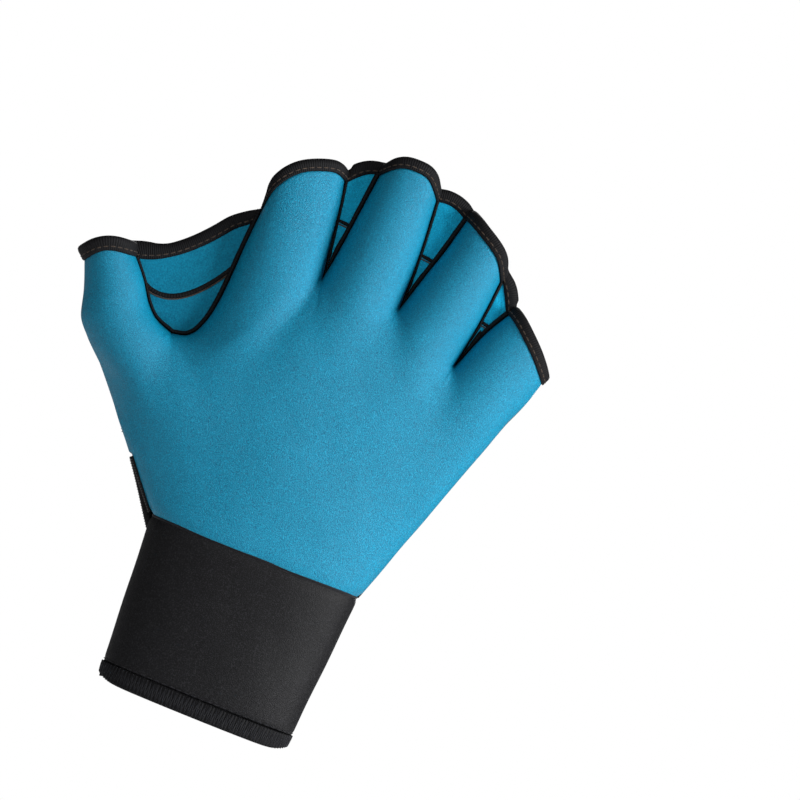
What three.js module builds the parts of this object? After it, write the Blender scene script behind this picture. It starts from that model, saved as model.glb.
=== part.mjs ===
// Webbed swim glove for a right hand, held upright as it is worn.
// X runs across the hand with the thumb at minus X, the back of the hand faces minus Y,
// and Z runs from the hem of the cuff to the fingers. The origin is the centre of the cuff's mouth.
import * as THREE from 'three';

// Overall sizes, in millimetres
const glove_length = 229;
const glove_span = 185;
const cuff_height = 65;
const palm_seam_drop = 6;

// Wrist and hand sections
const seam_width = 85;
const hem_width = 76;
const wrist_depth = 37;
const palm_depth = 38;
const knuckle_depth = 35;
const finger_depth = 25;
const root_depth = 31;

// Cloth, edges and clearances
const wall = 2.5;
const web_wall = 2;
const gap = 0.3;
const seam_clearance = 3 * gap;
const top_clearance = 4 * gap;
const binding_width = 4.5;
const binding_lap = 0.8;
const edging_width = 1.6;
const edging_height = 1;
const seam_bar_width = 1.8;
const seam_bar_height = 2.8;
const hem_height = 7;
const hem_lap = 0.4;
const slit_binding_width = 3;
const slit_back_setback = 4;
const slit_palm_setback = 9;
const slit_top_setback = slit_binding_width + seam_clearance;
const strap_height = 53;
const strap_bottom = 0.8;
const strap_binding_width = 5;

// Shape of the hand's sections, as shares of the hand between the cuff and the roots
const slit_share = 0.38;
const wrap_share = 0.7;
const palm_depth_share = 0.4;
const crest_share = 0.85;
const oval_fullness = 0.4;
const valley_sharpness = 8;
const valley_softening = 0.4;
const valley_rounding = 0.2;
const taper_power = 1.5;
const rim_drop_shares = [0.1, 0.6];
const slit_binding_shares = [0.02, slit_share * 0.94];
const web_tuck_share = 0.6;
const web_foot_share = 0.08;

// Turns round the hand, in radians
const side_wrap = 0.65;
const cuff_step = Math.PI / 18;
const landing_turn = 2 * cuff_step;
const strap_lift_turn = landing_turn * 0.8;
const strap_start_turn = 0.05;
const strap_round_turn = Math.PI / 3;
const strap_tip_turn = (2 * Math.PI) / 3;
const strap_end_turns = [0.5, 0.2, 0.03].map((share) => strap_tip_turn - cuff_step * share);

// How finely the pieces are divided
const columns_per_finger = 8;
const edge_steps = 6;
const body_rows = [0, 0.13, 0.26, slit_share - 0.02, slit_share, 0.52, 0.66, 0.78, 0.88, 0.95, 1];
const finger_rows = [0, 0.12, 0.28, 0.46, 0.64, 0.82, 1];
const cuff_rows = [0, 0.35, 0.7, 1];
const strap_rows = [-1, -0.33, 0.33, 1];
const top_samples = 40;

const hand_length = glove_length - cuff_height - binding_width;
const web_floor = web_wall / 2 + gap;

// Points are [x as a share of glove_span, z above the cuff as a share of hand_length].
// The roots run from the outer edge of the thumb to the outer edge of the little finger,
// and the valley below each takes a share of the body of the hand.
const roots = [
  [-0.465, 0.313],
  [-0.33, 0.419],
  [-0.084, 0.674],
  [0.086, 0.677],
  [0.235, 0.599],
  [0.378, 0.514],
];
const valley_shares = [0.45, 0.45, 0.36, 0.36, 0.4, 0.4];

// One row for each finger: the two corners of its mouth, the bends of its four edges
// between the corners, its share of the wrist and its fullness.
const fingers = [
  {
    name: 'thumb',
    mouth_left: [-0.554, 0.505],
    mouth_right: [-0.459, 0.558],
    left_bends: [[-0.497, 0.345], [-0.516, 0.376], [-0.532, 0.439]],
    right_bends: [[-0.368, 0.436], [-0.395, 0.464], [-0.424, 0.511]],
    root_bends: [[-0.4, 0.361]],
    mouth_bends: [[-0.53, 0.536], [-0.503, 0.552]],
    wrist_end: 0.17,
    fullness: 0.9,
  },
  {
    name: 'index',
    mouth_left: [-0.251, 0.771],
    mouth_right: [-0.117, 0.912],
    left_bends: [[-0.297, 0.429], [-0.276, 0.464], [-0.263, 0.533], [-0.256, 0.68]],
    right_bends: [[-0.105, 0.837]],
    root_bends: [[-0.265, 0.399], [-0.175, 0.49]],
    mouth_bends: [[-0.241, 0.837], [-0.205, 0.89], [-0.146, 0.92]],
    wrist_end: 0.42,
    fullness: 1,
  },
  {
    name: 'middle',
    mouth_left: [-0.054, 0.956],
    mouth_right: [0.073, 0.95],
    left_bends: [[-0.07, 0.784]],
    right_bends: [[0.082, 0.821]],
    root_bends: [],
    mouth_bends: [[-0.022, 0.987], [0.011, 0.994], [0.043, 0.987]],
    wrist_end: 0.62,
    fullness: 1,
  },
  {
    name: 'ring',
    mouth_left: [0.148, 0.934],
    mouth_right: [0.257, 0.828],
    left_bends: [[0.122, 0.818]],
    right_bends: [[0.251, 0.743]],
    root_bends: [],
    mouth_bends: [[0.178, 0.915], [0.232, 0.875]],
    wrist_end: 0.81,
    fullness: 0.95,
  },
  {
    name: 'little',
    mouth_left: [0.3, 0.762],
    mouth_right: [0.415, 0.639],
    left_bends: [[0.27, 0.699]],
    right_bends: [[0.4, 0.577]],
    root_bends: [],
    mouth_bends: [[0.324, 0.743], [0.378, 0.687]],
    wrist_end: 1,
    fullness: 0.86,
  },
];

// One row for each web: how far its top edge and its seam sag at the middle, as shares of
// hand_length, and where the seam meets the two fingers as shares of their sides.
const webs = [
  { name: 'thumb', top_sag: 0.041, seam_sag: 0.052, left_share: 0.66, right_share: 0.6 },
  { name: 'index', top_sag: -0.009, seam_sag: 0, left_share: 0.6, right_share: 0.5 },
  { name: 'middle', top_sag: -0.009, seam_sag: 0, left_share: 0.5, right_share: 0.52 },
  { name: 'ring', top_sag: -0.005, seam_sag: 0, left_share: 0.53, right_share: 0.7 },
];

const { lerp, clamp, smoothstep } = THREE.MathUtils;

// Even steps from one value to another, with both ends
const sharesBetween = (from, to, count) =>
  Array.from({ length: count + 1 }, (_, i) => lerp(from, to, i / count));

const group = new THREE.Group();
const cloth = (color) => new THREE.MeshStandardMaterial({ color, roughness: 0.85, metalness: 0 });
const blue_cloth = cloth(0x1a92be);
const web_cloth = cloth(0x1a86ae);
const black_cloth = cloth(0x1b1b20);
const palm_cloth = cloth(0x373734);
const edge_cloth = cloth(0x222226);

// Two triangles across the shorter diagonal of four corners
function quad(points, a, b, c, d) {
  const shorter = points[a].distanceTo(points[c]) <= points[b].distanceTo(points[d]);
  return shorter ? [[a, b, c], [a, c, d]] : [[a, b, d], [b, c, d]];
}

// A closed mesh from points and triangles, turned so that its faces point out
function solid(name, points, triangles, material) {
  const crossed = new THREE.Vector3();
  let volume = 0;
  for (const [a, b, c] of triangles) {
    volume += points[a].dot(crossed.crossVectors(points[b], points[c]));
  }
  const index = triangles.flatMap(([a, b, c]) => (volume < 0 ? [a, c, b] : [a, b, c]));
  const coordinates = points.flatMap((p) => p.toArray());
  const geometry = new THREE.BufferGeometry();
  geometry.setAttribute('position', new THREE.Float32BufferAttribute(coordinates, 3));
  geometry.setIndex(index);
  geometry.computeVertexNormals();
  const mesh = new THREE.Mesh(geometry, material);
  mesh.name = name;
  group.add(mesh);
}

// A sheet of even thickness below a surface, closed round all its free edges
function clothSheet(name, sheet, thickness, material) {
  const count = sheet.points.length;
  const inner = sheet.points.map((p, i) => p.clone().addScaledVector(sheet.normals[i], -thickness));
  const points = [...sheet.points, ...inner];
  const used = new Set();
  const triangles = [];
  for (const [a, b, c] of sheet.triangles) {
    triangles.push([a, b, c], [a + count, c + count, b + count]);
    used.add(`${a},${b}`).add(`${b},${c}`).add(`${c},${a}`);
  }
  for (const edge of used) {
    const [a, b] = edge.split(',').map(Number);
    if (!used.has(`${b},${a}`)) {
      triangles.push(...quad(points, b, a, a + count, b + count));
    }
  }
  solid(name, points, triangles, material);
}

// Two triangles for each cell of a grid of point numbers
function gridTriangles(rows) {
  const triangles = [];
  for (let r = 0; r + 1 < rows.length; r += 1) {
    for (let c = 0; c + 1 < rows[r].length; c += 1) {
      triangles.push([rows[r][c], rows[r][c + 1], rows[r + 1][c + 1]]);
      triangles.push([rows[r][c], rows[r + 1][c + 1], rows[r + 1][c]]);
    }
  }
  return triangles;
}

// A band with the same section all along, closed on itself or ended by two flat caps
function band(name, sections, closed, material) {
  const size = sections[0].length;
  const points = sections.flat();
  const triangles = [];
  const last = closed ? sections.length : sections.length - 1;
  for (let i = 0; i < last; i += 1) {
    const here = i * size;
    const next = ((i + 1) % sections.length) * size;
    for (let j = 0; j < size; j += 1) {
      const k = (j + 1) % size;
      triangles.push(...quad(points, here + j, here + k, next + k, next + j));
    }
  }
  if (!closed) {
    const end = (sections.length - 1) * size;
    for (let j = 1; j + 1 < size; j += 1) {
      triangles.push([0, j + 1, j], [end, end + j, end + j + 1]);
    }
  }
  solid(name, points, triangles, material);
}

// The section of a binding on the edge of a cloth: it stands proud by a lap on each face
function bindingSection(place, width, outer_lap, inner_lap) {
  const low = -wall - inner_lap;
  const high = outer_lap;
  const chamfer = (high - low) / 4;
  const profile = [
    [low, gap],
    [high, gap],
    [high, gap + width - chamfer],
    [high - chamfer, gap + width],
    [low + chamfer, gap + width],
    [low, gap + width - chamfer],
  ];
  return profile.map(([out, along]) =>
    place.point.clone().addScaledVector(place.normal, out).addScaledVector(place.away, along),
  );
}

// Gives each place along an edge the direction that leads away from the cloth
function edgePlaces(places, closed) {
  const count = places.length;
  return places.map((place, i) => {
    const before = closed ? places[(i + count - 1) % count] : places[Math.max(i - 1, 0)];
    const after = closed ? places[(i + 1) % count] : places[Math.min(i + 1, count - 1)];
    const along = after.point.clone().sub(before.point).normalize();
    const away = along.cross(place.normal).normalize();
    if (away.dot(place.away) < 0) {
      away.negate();
    }
    return { ...place, away };
  });
}

// A flat plate drawn in X and Z, centred on a depth
function plate(name, outline, depth, thickness, material) {
  const shape = new THREE.Shape(outline);
  const geometry = new THREE.ExtrudeGeometry(shape, { depth: thickness, bevelEnabled: false });
  geometry.translate(0, 0, -thickness / 2);
  geometry.rotateX(Math.PI / 2);
  const mesh = new THREE.Mesh(geometry, material);
  mesh.position.y = depth;
  mesh.name = name;
  group.add(mesh);
}

const handPoint = ([x, z]) => new THREE.Vector2(x * glove_span, cuff_height + z * hand_length);
const curveThrough = (shares) => new THREE.SplineCurve(shares.map(handPoint));

// The four edges of each finger as curves
const finger_edges = fingers.map((finger, k) => ({
  left: curveThrough([roots[k], ...finger.left_bends, finger.mouth_left]),
  right: curveThrough([roots[k + 1], ...finger.right_bends, finger.mouth_right]),
  root: curveThrough([roots[k], ...finger.root_bends, roots[k + 1]]),
  mouth: curveThrough([finger.mouth_left, ...finger.mouth_bends, finger.mouth_right]),
}));

// A flat patch between four edges that share their corners
function patch(bottom, top, left, right) {
  return (u, v) => {
    const point = bottom(u).multiplyScalar(1 - v).addScaledVector(top(u), v);
    point.addScaledVector(left(v), 1 - u).addScaledVector(right(v), u);
    point.addScaledVector(bottom(0), -(1 - u) * (1 - v)).addScaledVector(bottom(1), -u * (1 - v));
    return point.addScaledVector(top(0), -(1 - u) * v).addScaledVector(top(1), -u * v);
  };
}

const fingerMaps = finger_edges.map((edges) =>
  patch(
    (u) => edges.root.getPointAt(u),
    (u) => edges.mouth.getPointAt(u),
    (v) => edges.left.getPointAt(v),
    (v) => edges.right.getPointAt(v),
  ),
);

// How far the section of a flat oval rises at a share of its width
function ovalRise(share) {
  const round = Math.sqrt(clamp(1 - (2 * share - 1) ** 2, 0, 1));
  return (round * (1 + oval_fullness)) / (1 + oval_fullness * round);
}

const wristStart = (k) => (k === 0 ? 0 : fingers[k - 1].wrist_end);
const wristShare = (k, across) => lerp(wristStart(k), fingers[k].wrist_end, across);
const acrossAt = (turn) => (1 - Math.cos(turn)) / 2;
const cuffEdge = (height, share) => (share - 0.5) * lerp(hem_width, seam_width, height / cuff_height);
const palmRim = (share) => cuff_height - palm_seam_drop * smoothstep(1 - share, ...rim_drop_shares);

const outward = { back: -1, palm: 1 };
const slit_setback = { back: slit_back_setback, palm: slit_palm_setback };
const rimHeight = { back: () => cuff_height, palm: palmRim };

// The flat map of the hand between the cuff and the roots of the fingers, for each side
function bodyMap(side) {
  const rim = rimHeight[side];
  const wrist = (share) => new THREE.Vector2(cuffEdge(cuff_height, share), rim(share));
  const corner = new THREE.Vector2(cuffEdge(cuff_height, 0), cuff_height);
  const slit_top = corner.lerp(handPoint(roots[0]), slit_share);
  const row = (share) => {
    const found = fingers.findIndex((finger) => share <= finger.wrist_end);
    const k = found < 0 ? fingers.length - 1 : found;
    const across = (share - wristStart(k)) / (fingers[k].wrist_end - wristStart(k));
    return finger_edges[k].root.getPointAt(clamp(across, 0, 1));
  };
  const left = (v) =>
    v < slit_share
      ? wrist(0).lerp(slit_top, v / slit_share)
      : slit_top.clone().lerp(handPoint(roots[0]), (v - slit_share) / (1 - slit_share));
  const right = (v) => wrist(1).lerp(handPoint(roots[5]), v);
  return patch(wrist, row, left, right);
}
const bodyMaps = { back: bodyMap('back'), palm: bodyMap('palm') };

// Half depth of the hand along its length, of a finger's crest, and of the sides of a notch
const heelDepth = (v) => lerp(wrist_depth, palm_depth, smoothstep(v, 0, palm_depth_share));
const bodyDepth = (v) => lerp(heelDepth(v), knuckle_depth, v * v) / 2;
const sideDepth = (k, across) =>
  (k === 0 ? 0 : web_floor * (1 - across)) + (k === fingers.length - 1 ? 0 : web_floor * across);

// Towards its sides a finger takes the mean fullness of itself and its neighbour
function crestDepth(k, turn, v) {
  const neighbour = fingers[turn < Math.PI / 2 ? k - 1 : k + 1] ?? fingers[k];
  const mean = (fingers[k].fullness + neighbour.fullness) / 2;
  const fullness = lerp(fingers[k].fullness, mean, Math.cos(turn) ** 2);
  return (fullness * lerp(root_depth, finger_depth, v ** taper_power)) / 2;
}

// How far the cloth rises off the middle plane below the roots: below each notch a valley opens out
function bodyRise(k, turn, v) {
  const across = acrossAt(turn);
  const side = Math.abs(Math.cos(turn));
  const oval = bodyDepth(v) * ovalRise(wristShare(k, across));
  const crest = crestDepth(k, turn, 0);
  const faded = smoothstep((1 - v) / crest_share, 0, 1);
  const outer_half = turn < Math.PI / 2 ? k === 0 : k === fingers.length - 1;
  if (outer_half) {
    return lerp(crest * Math.sin(turn), oval, faded);
  }
  const below = clamp((1 - v) / lerp(valley_shares[k], valley_shares[k + 1], across), 0, 1);
  const opened = lerp(smoothstep(below, 0, 1), below, side ** valley_sharpness);
  const rounding = valley_rounding * smoothstep(below, 0, valley_softening);
  const steepness = side * (1 - rounding * side ** 4);
  const profile = Math.sqrt(clamp(1 - (steepness * (1 - opened)) ** 2, 0, 1));
  return lerp(sideDepth(k, across), lerp(crest, oval, faded), profile);
}

// How far a finger's cloth rises off the middle plane
const fingerRise = (k, turn, v) =>
  lerp(sideDepth(k, acrossAt(turn)), crestDepth(k, turn, v), Math.sin(turn));

// Beyond its own half of the hand the cloth takes the other side's rise, turned round
function clothRise(zone, k, turn, v) {
  const beyond = turn < 0 || turn > Math.PI;
  const inside = clamp(turn < 0 ? -turn : beyond ? 2 * Math.PI - turn : turn, 0, Math.PI);
  const rise = zone === 'body' ? bodyRise(k, inside, v) : fingerRise(k, inside, v);
  return beyond ? -rise : rise;
}

// A point of the glove's surface: on the body below the roots, or on a finger above them
function surface(side, zone, k, turn, v) {
  const across = acrossAt(turn);
  const flat = zone === 'body' ? bodyMaps[side](wristShare(k, across), v) : fingerMaps[k](across, v);
  return new THREE.Vector3(flat.x, outward[side] * clothRise(zone, k, turn, v), flat.y);
}

const turn_step = 0.01;
const row_step = 0.004;
const height_step = 1;

// How fast the surface runs across and along the hand
function slopes(side, zone, k, turn, v) {
  const low = Math.max(v - row_step, 0);
  const high = Math.min(v + row_step, 1);
  const at = (turnThere, vThere) => surface(side, zone, k, turnThere, vThere);
  const across = at(turn + turn_step, v).sub(at(turn - turn_step, v));
  const along = at(turn, high).sub(at(turn, low));
  return { across: across.divideScalar(2 * turn_step), along: along.divideScalar(high - low) };
}

function surfaceNormal(side, zone, k, turn, v) {
  const { across, along } = slopes(side, zone, k, turn, v);
  return across.cross(along).normalize().multiplyScalar(-outward[side]);
}

// In a valley between two fingers the cloth faces up along the valley
function valleyNormal(side, k, v) {
  const left = surface(side, 'body', k, Math.PI / 2, v);
  const right = surface(side, 'body', k + 1, Math.PI / 2, v);
  const across = right.sub(left).setY(0);
  const { along } = slopes(side, 'body', k, Math.PI, v);
  return across.cross(along).normalize().multiplyScalar(-outward[side]);
}

// Where the cloth starts at the thumb's side: wrapped round to the palm, or opened at the slit
function startTurn(side, zone, v) {
  const closed = zone === 'finger' || v >= slit_share;
  const wrap = zone === 'finger' ? side_wrap : side_wrap * smoothstep(v, slit_share, wrap_share);
  const turn = side === 'back' ? -wrap : wrap;
  const setback = lerp(slit_setback[side], slit_top_setback, Math.min(v / slit_share, 1));
  return turn + (closed ? gap / 2 : setback) / slopes(side, zone, 0, turn, v).across.length();
}

const endTurn = (side, zone, v) =>
  Math.PI - gap / 2 / slopes(side, zone, fingers.length - 1, Math.PI, v).across.length();

// Even turns from one edge of a finger's share of the cloth to the other
function turnsAcross(side, zone, k, v) {
  const start = k === 0 ? startTurn(side, zone, v) : 0;
  const end = k === fingers.length - 1 ? endTurn(side, zone, v) : Math.PI;
  return sharesBetween(start, end, columns_per_finger);
}

// One side of the glove: the body up to the roots, then five finger halves
function handPanel(name, side, material) {
  const sheet = { points: [], normals: [], triangles: [] };
  const add = (point, normal) => {
    sheet.points.push(point);
    sheet.normals.push(normal);
    return sheet.points.length - 1;
  };
  const body = body_rows.map((v) => {
    const row = [];
    for (let k = 0; k < fingers.length; k += 1) {
      const turns = turnsAcross(side, 'body', k, v);
      turns.forEach((turn, i) => {
        const valley = i === columns_per_finger && k + 1 < fingers.length;
        if (i === 0 && k > 0) {
          return;
        }
        const normal = valley ? valleyNormal(side, k, v) : surfaceNormal(side, 'body', k, turn, v);
        row.push(add(surface(side, 'body', k, turn, v), normal));
      });
    }
    return row;
  });
  sheet.triangles.push(...gridTriangles(body));
  const root_row = body[body.length - 1];
  for (let k = 0; k < fingers.length; k += 1) {
    const first = k * columns_per_finger;
    const rows = [root_row.slice(first, first + columns_per_finger + 1)];
    for (const v of finger_rows.slice(1)) {
      const at = [side, 'finger', k];
      const place = (turn) => add(surface(...at, turn, v), surfaceNormal(...at, turn, v));
      rows.push(turnsAcross(...at, v).map(place));
    }
    sheet.triangles.push(...gridTriangles(rows));
  }
  clothSheet(name, sheet, wall, material);
}

// The bound ring round the mouth of a finger
function mouthBinding(k) {
  const places = [];
  const add = (side, turn) => {
    const point = surface(side, 'finger', k, turn, 1);
    const near = places.some((place) => place.point.distanceTo(point) < gap);
    if (!near) {
      const normal = surfaceNormal(side, 'finger', k, turn, 1);
      places.push({ point, normal, away: slopes(side, 'finger', k, turn, 1).along });
    }
  };
  const turns = sharesBetween(0, Math.PI, columns_per_finger);
  turns.forEach((turn) => add('back', turn));
  turns.reverse().forEach((turn) => add('palm', turn));
  const section = (place) => bindingSection(place, binding_width, binding_lap, binding_lap);
  band(`mouth_binding_${fingers[k].name}`, edgePlaces(places, true).map(section), true, edge_cloth);
}

const leftOf = (direction) => new THREE.Vector2(-direction.y, direction.x);

// A point beside a finger's edge: a positive distance lies in the finger, a negative one in the web
function besideEdge(edge, on_left, share, distance) {
  const inward = leftOf(edge.getTangentAt(share)).multiplyScalar(on_left ? 1 : -1);
  return edge.getPointAt(share).addScaledVector(inward, distance);
}

// The points of a curve, moved to its left by a distance
function shifted(curve, distance) {
  return sharesBetween(0, 1, edge_steps).map((share) =>
    curve.getPoint(share).addScaledVector(leftOf(curve.getTangent(share)), distance),
  );
}

// The height of a web's top edge above a point
function heightAbove(top, point) {
  const along = sharesBetween(0, 1, top_samples).map((share) => top.getPoint(share));
  const offset = (p) => Math.abs(p.x - point.x);
  const near = along.reduce((best, p) => (offset(p) < offset(best) ? p : best));
  return near.y - point.y;
}

// The two edges of a notch, inset into it, from the left top to the right top
function notchRun(left, right, ends, distance) {
  const pairs = finger_rows.map((share) => [
    besideEdge(left, true, share * ends[0], -distance),
    besideEdge(right, false, share * ends[1], -distance),
  ]);
  const clear = pairs.filter(([a, b]) => a.x < b.x);
  return [...clear.map(([a]) => a).reverse(), ...clear.map(([, b]) => b)];
}

// An even arc between two points, whose middle hangs by a share of hand_length
function saggingCurve(start, end, sag) {
  const points = sharesBetween(0, 1, edge_steps).map((share) => {
    const point = start.clone().lerp(end, share);
    point.y -= sag * hand_length * 4 * share * (1 - share);
    return point;
  });
  return new THREE.SplineCurve(points);
}

// The web between finger k and the next: two plates, the seam between them, their top binding
// and the edging on the sides of the notch
function buildWeb(row, k) {
  const left = finger_edges[k].right;
  const right = finger_edges[k + 1].left;
  const tuck = wall * web_tuck_share;
  const root = handPoint(roots[k + 1]);
  const mouth_gap = binding_lap + gap;
  const top_left = left.getPointAt(1).add(new THREE.Vector2(mouth_gap, 0));
  const top_right = right.getPointAt(1).sub(new THREE.Vector2(mouth_gap, 0));
  const top = saggingCurve(top_left, top_right, row.top_sag);
  const inset = -edging_width - seam_clearance;
  const seam_left = besideEdge(left, true, row.left_share, inset);
  const seam_right = besideEdge(right, false, row.right_share, inset);
  const seam = saggingCurve(seam_left, seam_right, row.seam_sag);
  const half_seam = seam_bar_width / 2;
  const left_step = (half_seam + gap) / left.getLength();
  const right_step = (half_seam + gap) / right.getLength();
  const tucked = (edge, on_left, from, to) =>
    sharesBetween(from, to, edge_steps).map((share) => besideEdge(edge, on_left, share, tuck));
  const onLeft = (from, to) => tucked(left, true, from, to);
  const onRight = (from, to) => tucked(right, false, from, to);

  const lower = [
    ...onLeft(row.left_share - left_step, web_foot_share),
    root.clone().sub(new THREE.Vector2(0, gap)),
    ...onRight(web_foot_share, row.right_share - right_step),
    ...shifted(seam, -half_seam - gap).reverse(),
  ];
  plate(`web_lower_${row.name}`, lower, 0, web_wall, web_cloth);

  const upper = [
    ...shifted(seam, half_seam + gap),
    ...onRight(row.right_share + right_step, 1),
    ...shifted(top, 0).reverse(),
    ...onLeft(1, row.left_share + left_step),
  ];
  plate(`web_upper_${row.name}`, upper, 0, web_wall, web_cloth);

  const bar = [...shifted(seam, -half_seam), ...shifted(seam, half_seam).reverse()];
  plate(`web_seam_${row.name}`, bar, 0, seam_bar_height, edge_cloth);

  const binding_height = web_wall + 2 * binding_lap;
  const between = (p) => new THREE.Vector2(clamp(p.x, top_left.x, top_right.x), p.y);
  const bound = [...shifted(top, gap), ...shifted(top, gap + binding_width).reverse()].map(between);
  plate(`web_binding_${row.name}`, bound, 0, binding_height, edge_cloth);

  const edging_inset = gap + edging_width;
  const clears = (point) => heightAbove(top, point) > top_clearance;
  const inside = (edge, on_left, share) => besideEdge(edge, on_left, share, -edging_inset);
  const endShare = (edge, on_left) =>
    sharesBetween(1, 0, top_samples).find((share) => clears(inside(edge, on_left, share)));
  const ends = [endShare(left, true), endShare(right, false)];
  const outer_run = notchRun(left, right, ends, gap);
  const inner_run = notchRun(left, right, ends, edging_inset);
  const edging = [...outer_run, ...inner_run.reverse()];
  const edging_depth = -seam_bar_height / 2 - gap - edging_height / 2;
  plate(`notch_edging_${row.name}`, edging, edging_depth, edging_height, edge_cloth);
}

// The wrist's oval section, once round from the thumb's side over the back
function cuffPoint(side, turn, height) {
  const share = acrossAt(turn);
  const rise = bodyDepth(0) * ovalRise(share) * Math.sign(Math.sin(turn));
  return new THREE.Vector3(cuffEdge(height, share), outward[side] * rise, height);
}

function cuffNormal(side, turn, height) {
  const at = (turnThere, heightThere) => cuffPoint(side, turnThere, heightThere);
  const across = at(turn + turn_step, height).sub(at(turn - turn_step, height));
  const along = at(turn, height + height_step).sub(at(turn, height - height_step));
  return across.cross(along).normalize().multiplyScalar(-outward[side]);
}

// Columns round the cuff: the back from the thumb's side, then the palm as far as its landing
function cuffColumns() {
  const columns = [];
  for (let turn = 0; turn < Math.PI - cuff_step / 2; turn += cuff_step) {
    columns.push({ side: 'back', turn });
  }
  for (let turn = Math.PI; turn > landing_turn - cuff_step / 2; turn -= cuff_step) {
    columns.push({ side: 'palm', turn });
  }
  return columns;
}

// A sheet round the cuff between the heights of its rows, thicker than the wall by a lap on each face
function cuffSheet(name, heights, lap, material) {
  const sheet = { points: [], normals: [], triangles: [] };
  const rows = heights.map((heightAt) =>
    cuffColumns().map(({ side, turn }) => {
      const height = heightAt(side, acrossAt(turn));
      const normal = cuffNormal(side, turn, height);
      sheet.points.push(cuffPoint(side, turn, height).addScaledVector(normal, lap));
      sheet.normals.push(normal);
      return sheet.points.length - 1;
    }),
  );
  sheet.triangles.push(...gridTriangles(rows));
  clothSheet(name, sheet, wall + 2 * lap, material);
}

function buildCuff() {
  const low = hem_height + gap;
  const row = (share) => (side, across) => lerp(low, rimHeight[side](across) - gap, share);
  cuffSheet('cuff_band', cuff_rows.map(row), 0, black_cloth);
  cuffSheet('cuff_hem', [() => 0, () => hem_height], hem_lap, edge_cloth);
}

// The strap lies over the palm's side of the cuff, from the thumb's side to its round end
function strapPlace(turn, height) {
  const lift = (gap + wall + hem_lap) * smoothstep(turn, 0, strap_lift_turn);
  const normal = cuffNormal('palm', turn, height);
  return { point: cuffPoint('palm', turn, height).addScaledVector(normal, lift), normal };
}

function strapHalf(turn) {
  const start = acrossAt(strap_round_turn);
  const end = acrossAt(strap_tip_turn);
  const share = clamp((acrossAt(turn) - start) / (end - start), 0, 1);
  return (strap_height / 2 - strap_binding_width) * Math.sqrt(1 - share * share);
}

function buildStrap() {
  const middle = strap_bottom + strap_height / 2;
  const turns = [strap_start_turn];
  for (let turn = cuff_step; turn < strap_tip_turn - cuff_step / 2; turn += cuff_step) {
    turns.push(turn);
  }
  turns.push(...strap_end_turns);
  const sheet = { points: [], normals: [], triangles: [] };
  const rows = strap_rows.map((share) =>
    turns.map((turn) => {
      const place = strapPlace(turn, middle + share * strapHalf(turn));
      sheet.points.push(place.point);
      sheet.normals.push(place.normal);
      return sheet.points.length - 1;
    }),
  );
  sheet.triangles.push(...gridTriangles(rows));
  clothSheet('strap', sheet, wall, black_cloth);

  const lower_edge = turns.map((turn) => [turn, -1]);
  const upper_edge = turns.map((turn) => [turn, 1]).reverse();
  const edge = [...lower_edge, ...upper_edge];
  const places = edge.map(([turn, share]) => {
    const place = strapPlace(turn, middle + share * strapHalf(turn));
    const inside = strapPlace(Math.min(turn, strap_round_turn), middle);
    return { ...place, away: place.point.clone().sub(inside.point) };
  });
  const section = (place) => bindingSection(place, strap_binding_width, binding_lap, 0);
  band('strap_binding', edgePlaces(places, false).map(section), false, edge_cloth);
}

// The bound edges of the slit between the cuff and the thumb
function slitBinding(side) {
  const places = sharesBetween(...slit_binding_shares, edge_steps).map((v) => {
    const turn = startTurn(side, 'body', v);
    const { across } = slopes(side, 'body', 0, turn, v);
    return {
      point: surface(side, 'body', 0, turn, v),
      normal: surfaceNormal(side, 'body', 0, turn, v),
      away: across.negate(),
    };
  });
  const section = (place) => bindingSection(place, slit_binding_width, binding_lap, binding_lap);
  band(`${side}_slit_binding`, edgePlaces(places, false).map(section), false, edge_cloth);
}

handPanel('back_panel', 'back', blue_cloth);
handPanel('palm_panel', 'palm', palm_cloth);
webs.forEach(buildWeb);
fingers.forEach((_, k) => mouthBinding(k));
buildCuff();
buildStrap();
slitBinding('back');
slitBinding('palm');

export default group;
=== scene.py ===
# %% [markdown]
# # A webbed swim glove, dressed for its picture
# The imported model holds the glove's solids at their real sizes. Here each of them is replaced by a finer piece
# that follows the same curves: knitted cloth on foam, folded tape, rolled seams and thread. All shapes are
# worked out in millimetres and turned into metres when the mesh is made.

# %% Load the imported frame
import math

import bpy
import numpy as np
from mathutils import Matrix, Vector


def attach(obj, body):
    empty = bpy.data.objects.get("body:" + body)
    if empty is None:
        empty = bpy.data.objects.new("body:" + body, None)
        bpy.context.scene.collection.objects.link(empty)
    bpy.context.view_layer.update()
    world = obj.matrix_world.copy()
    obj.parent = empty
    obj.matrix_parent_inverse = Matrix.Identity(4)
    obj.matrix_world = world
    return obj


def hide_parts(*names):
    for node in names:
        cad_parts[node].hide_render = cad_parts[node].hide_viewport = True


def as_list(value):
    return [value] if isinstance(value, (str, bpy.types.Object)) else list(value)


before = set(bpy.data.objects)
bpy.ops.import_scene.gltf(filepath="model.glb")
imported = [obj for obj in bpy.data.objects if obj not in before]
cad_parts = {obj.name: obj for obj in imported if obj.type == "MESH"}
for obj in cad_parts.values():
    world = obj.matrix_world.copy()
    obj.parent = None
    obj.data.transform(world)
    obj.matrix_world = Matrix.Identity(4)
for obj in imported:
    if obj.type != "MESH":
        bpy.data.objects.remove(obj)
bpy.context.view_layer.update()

# %% [markdown]
# ## The view, the light and the floor
# The glove is seen level, straight at the back of the hand, leaning to the right in the picture. A long lens
# keeps the outline free of perspective. The lean is given by rolling the camera, so that the glove itself stays
# upright in its frame. The glove is held up by the wrist, so the floor lies a little below its hem.

# %% Camera
PICTURE_LEAN = math.radians(22)
PICTURE_WIDTH = 0.304
PICTURE_CENTRE = (0.029, 0.0, 0.1407)
CAMERA_DISTANCE = 2.6

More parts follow.
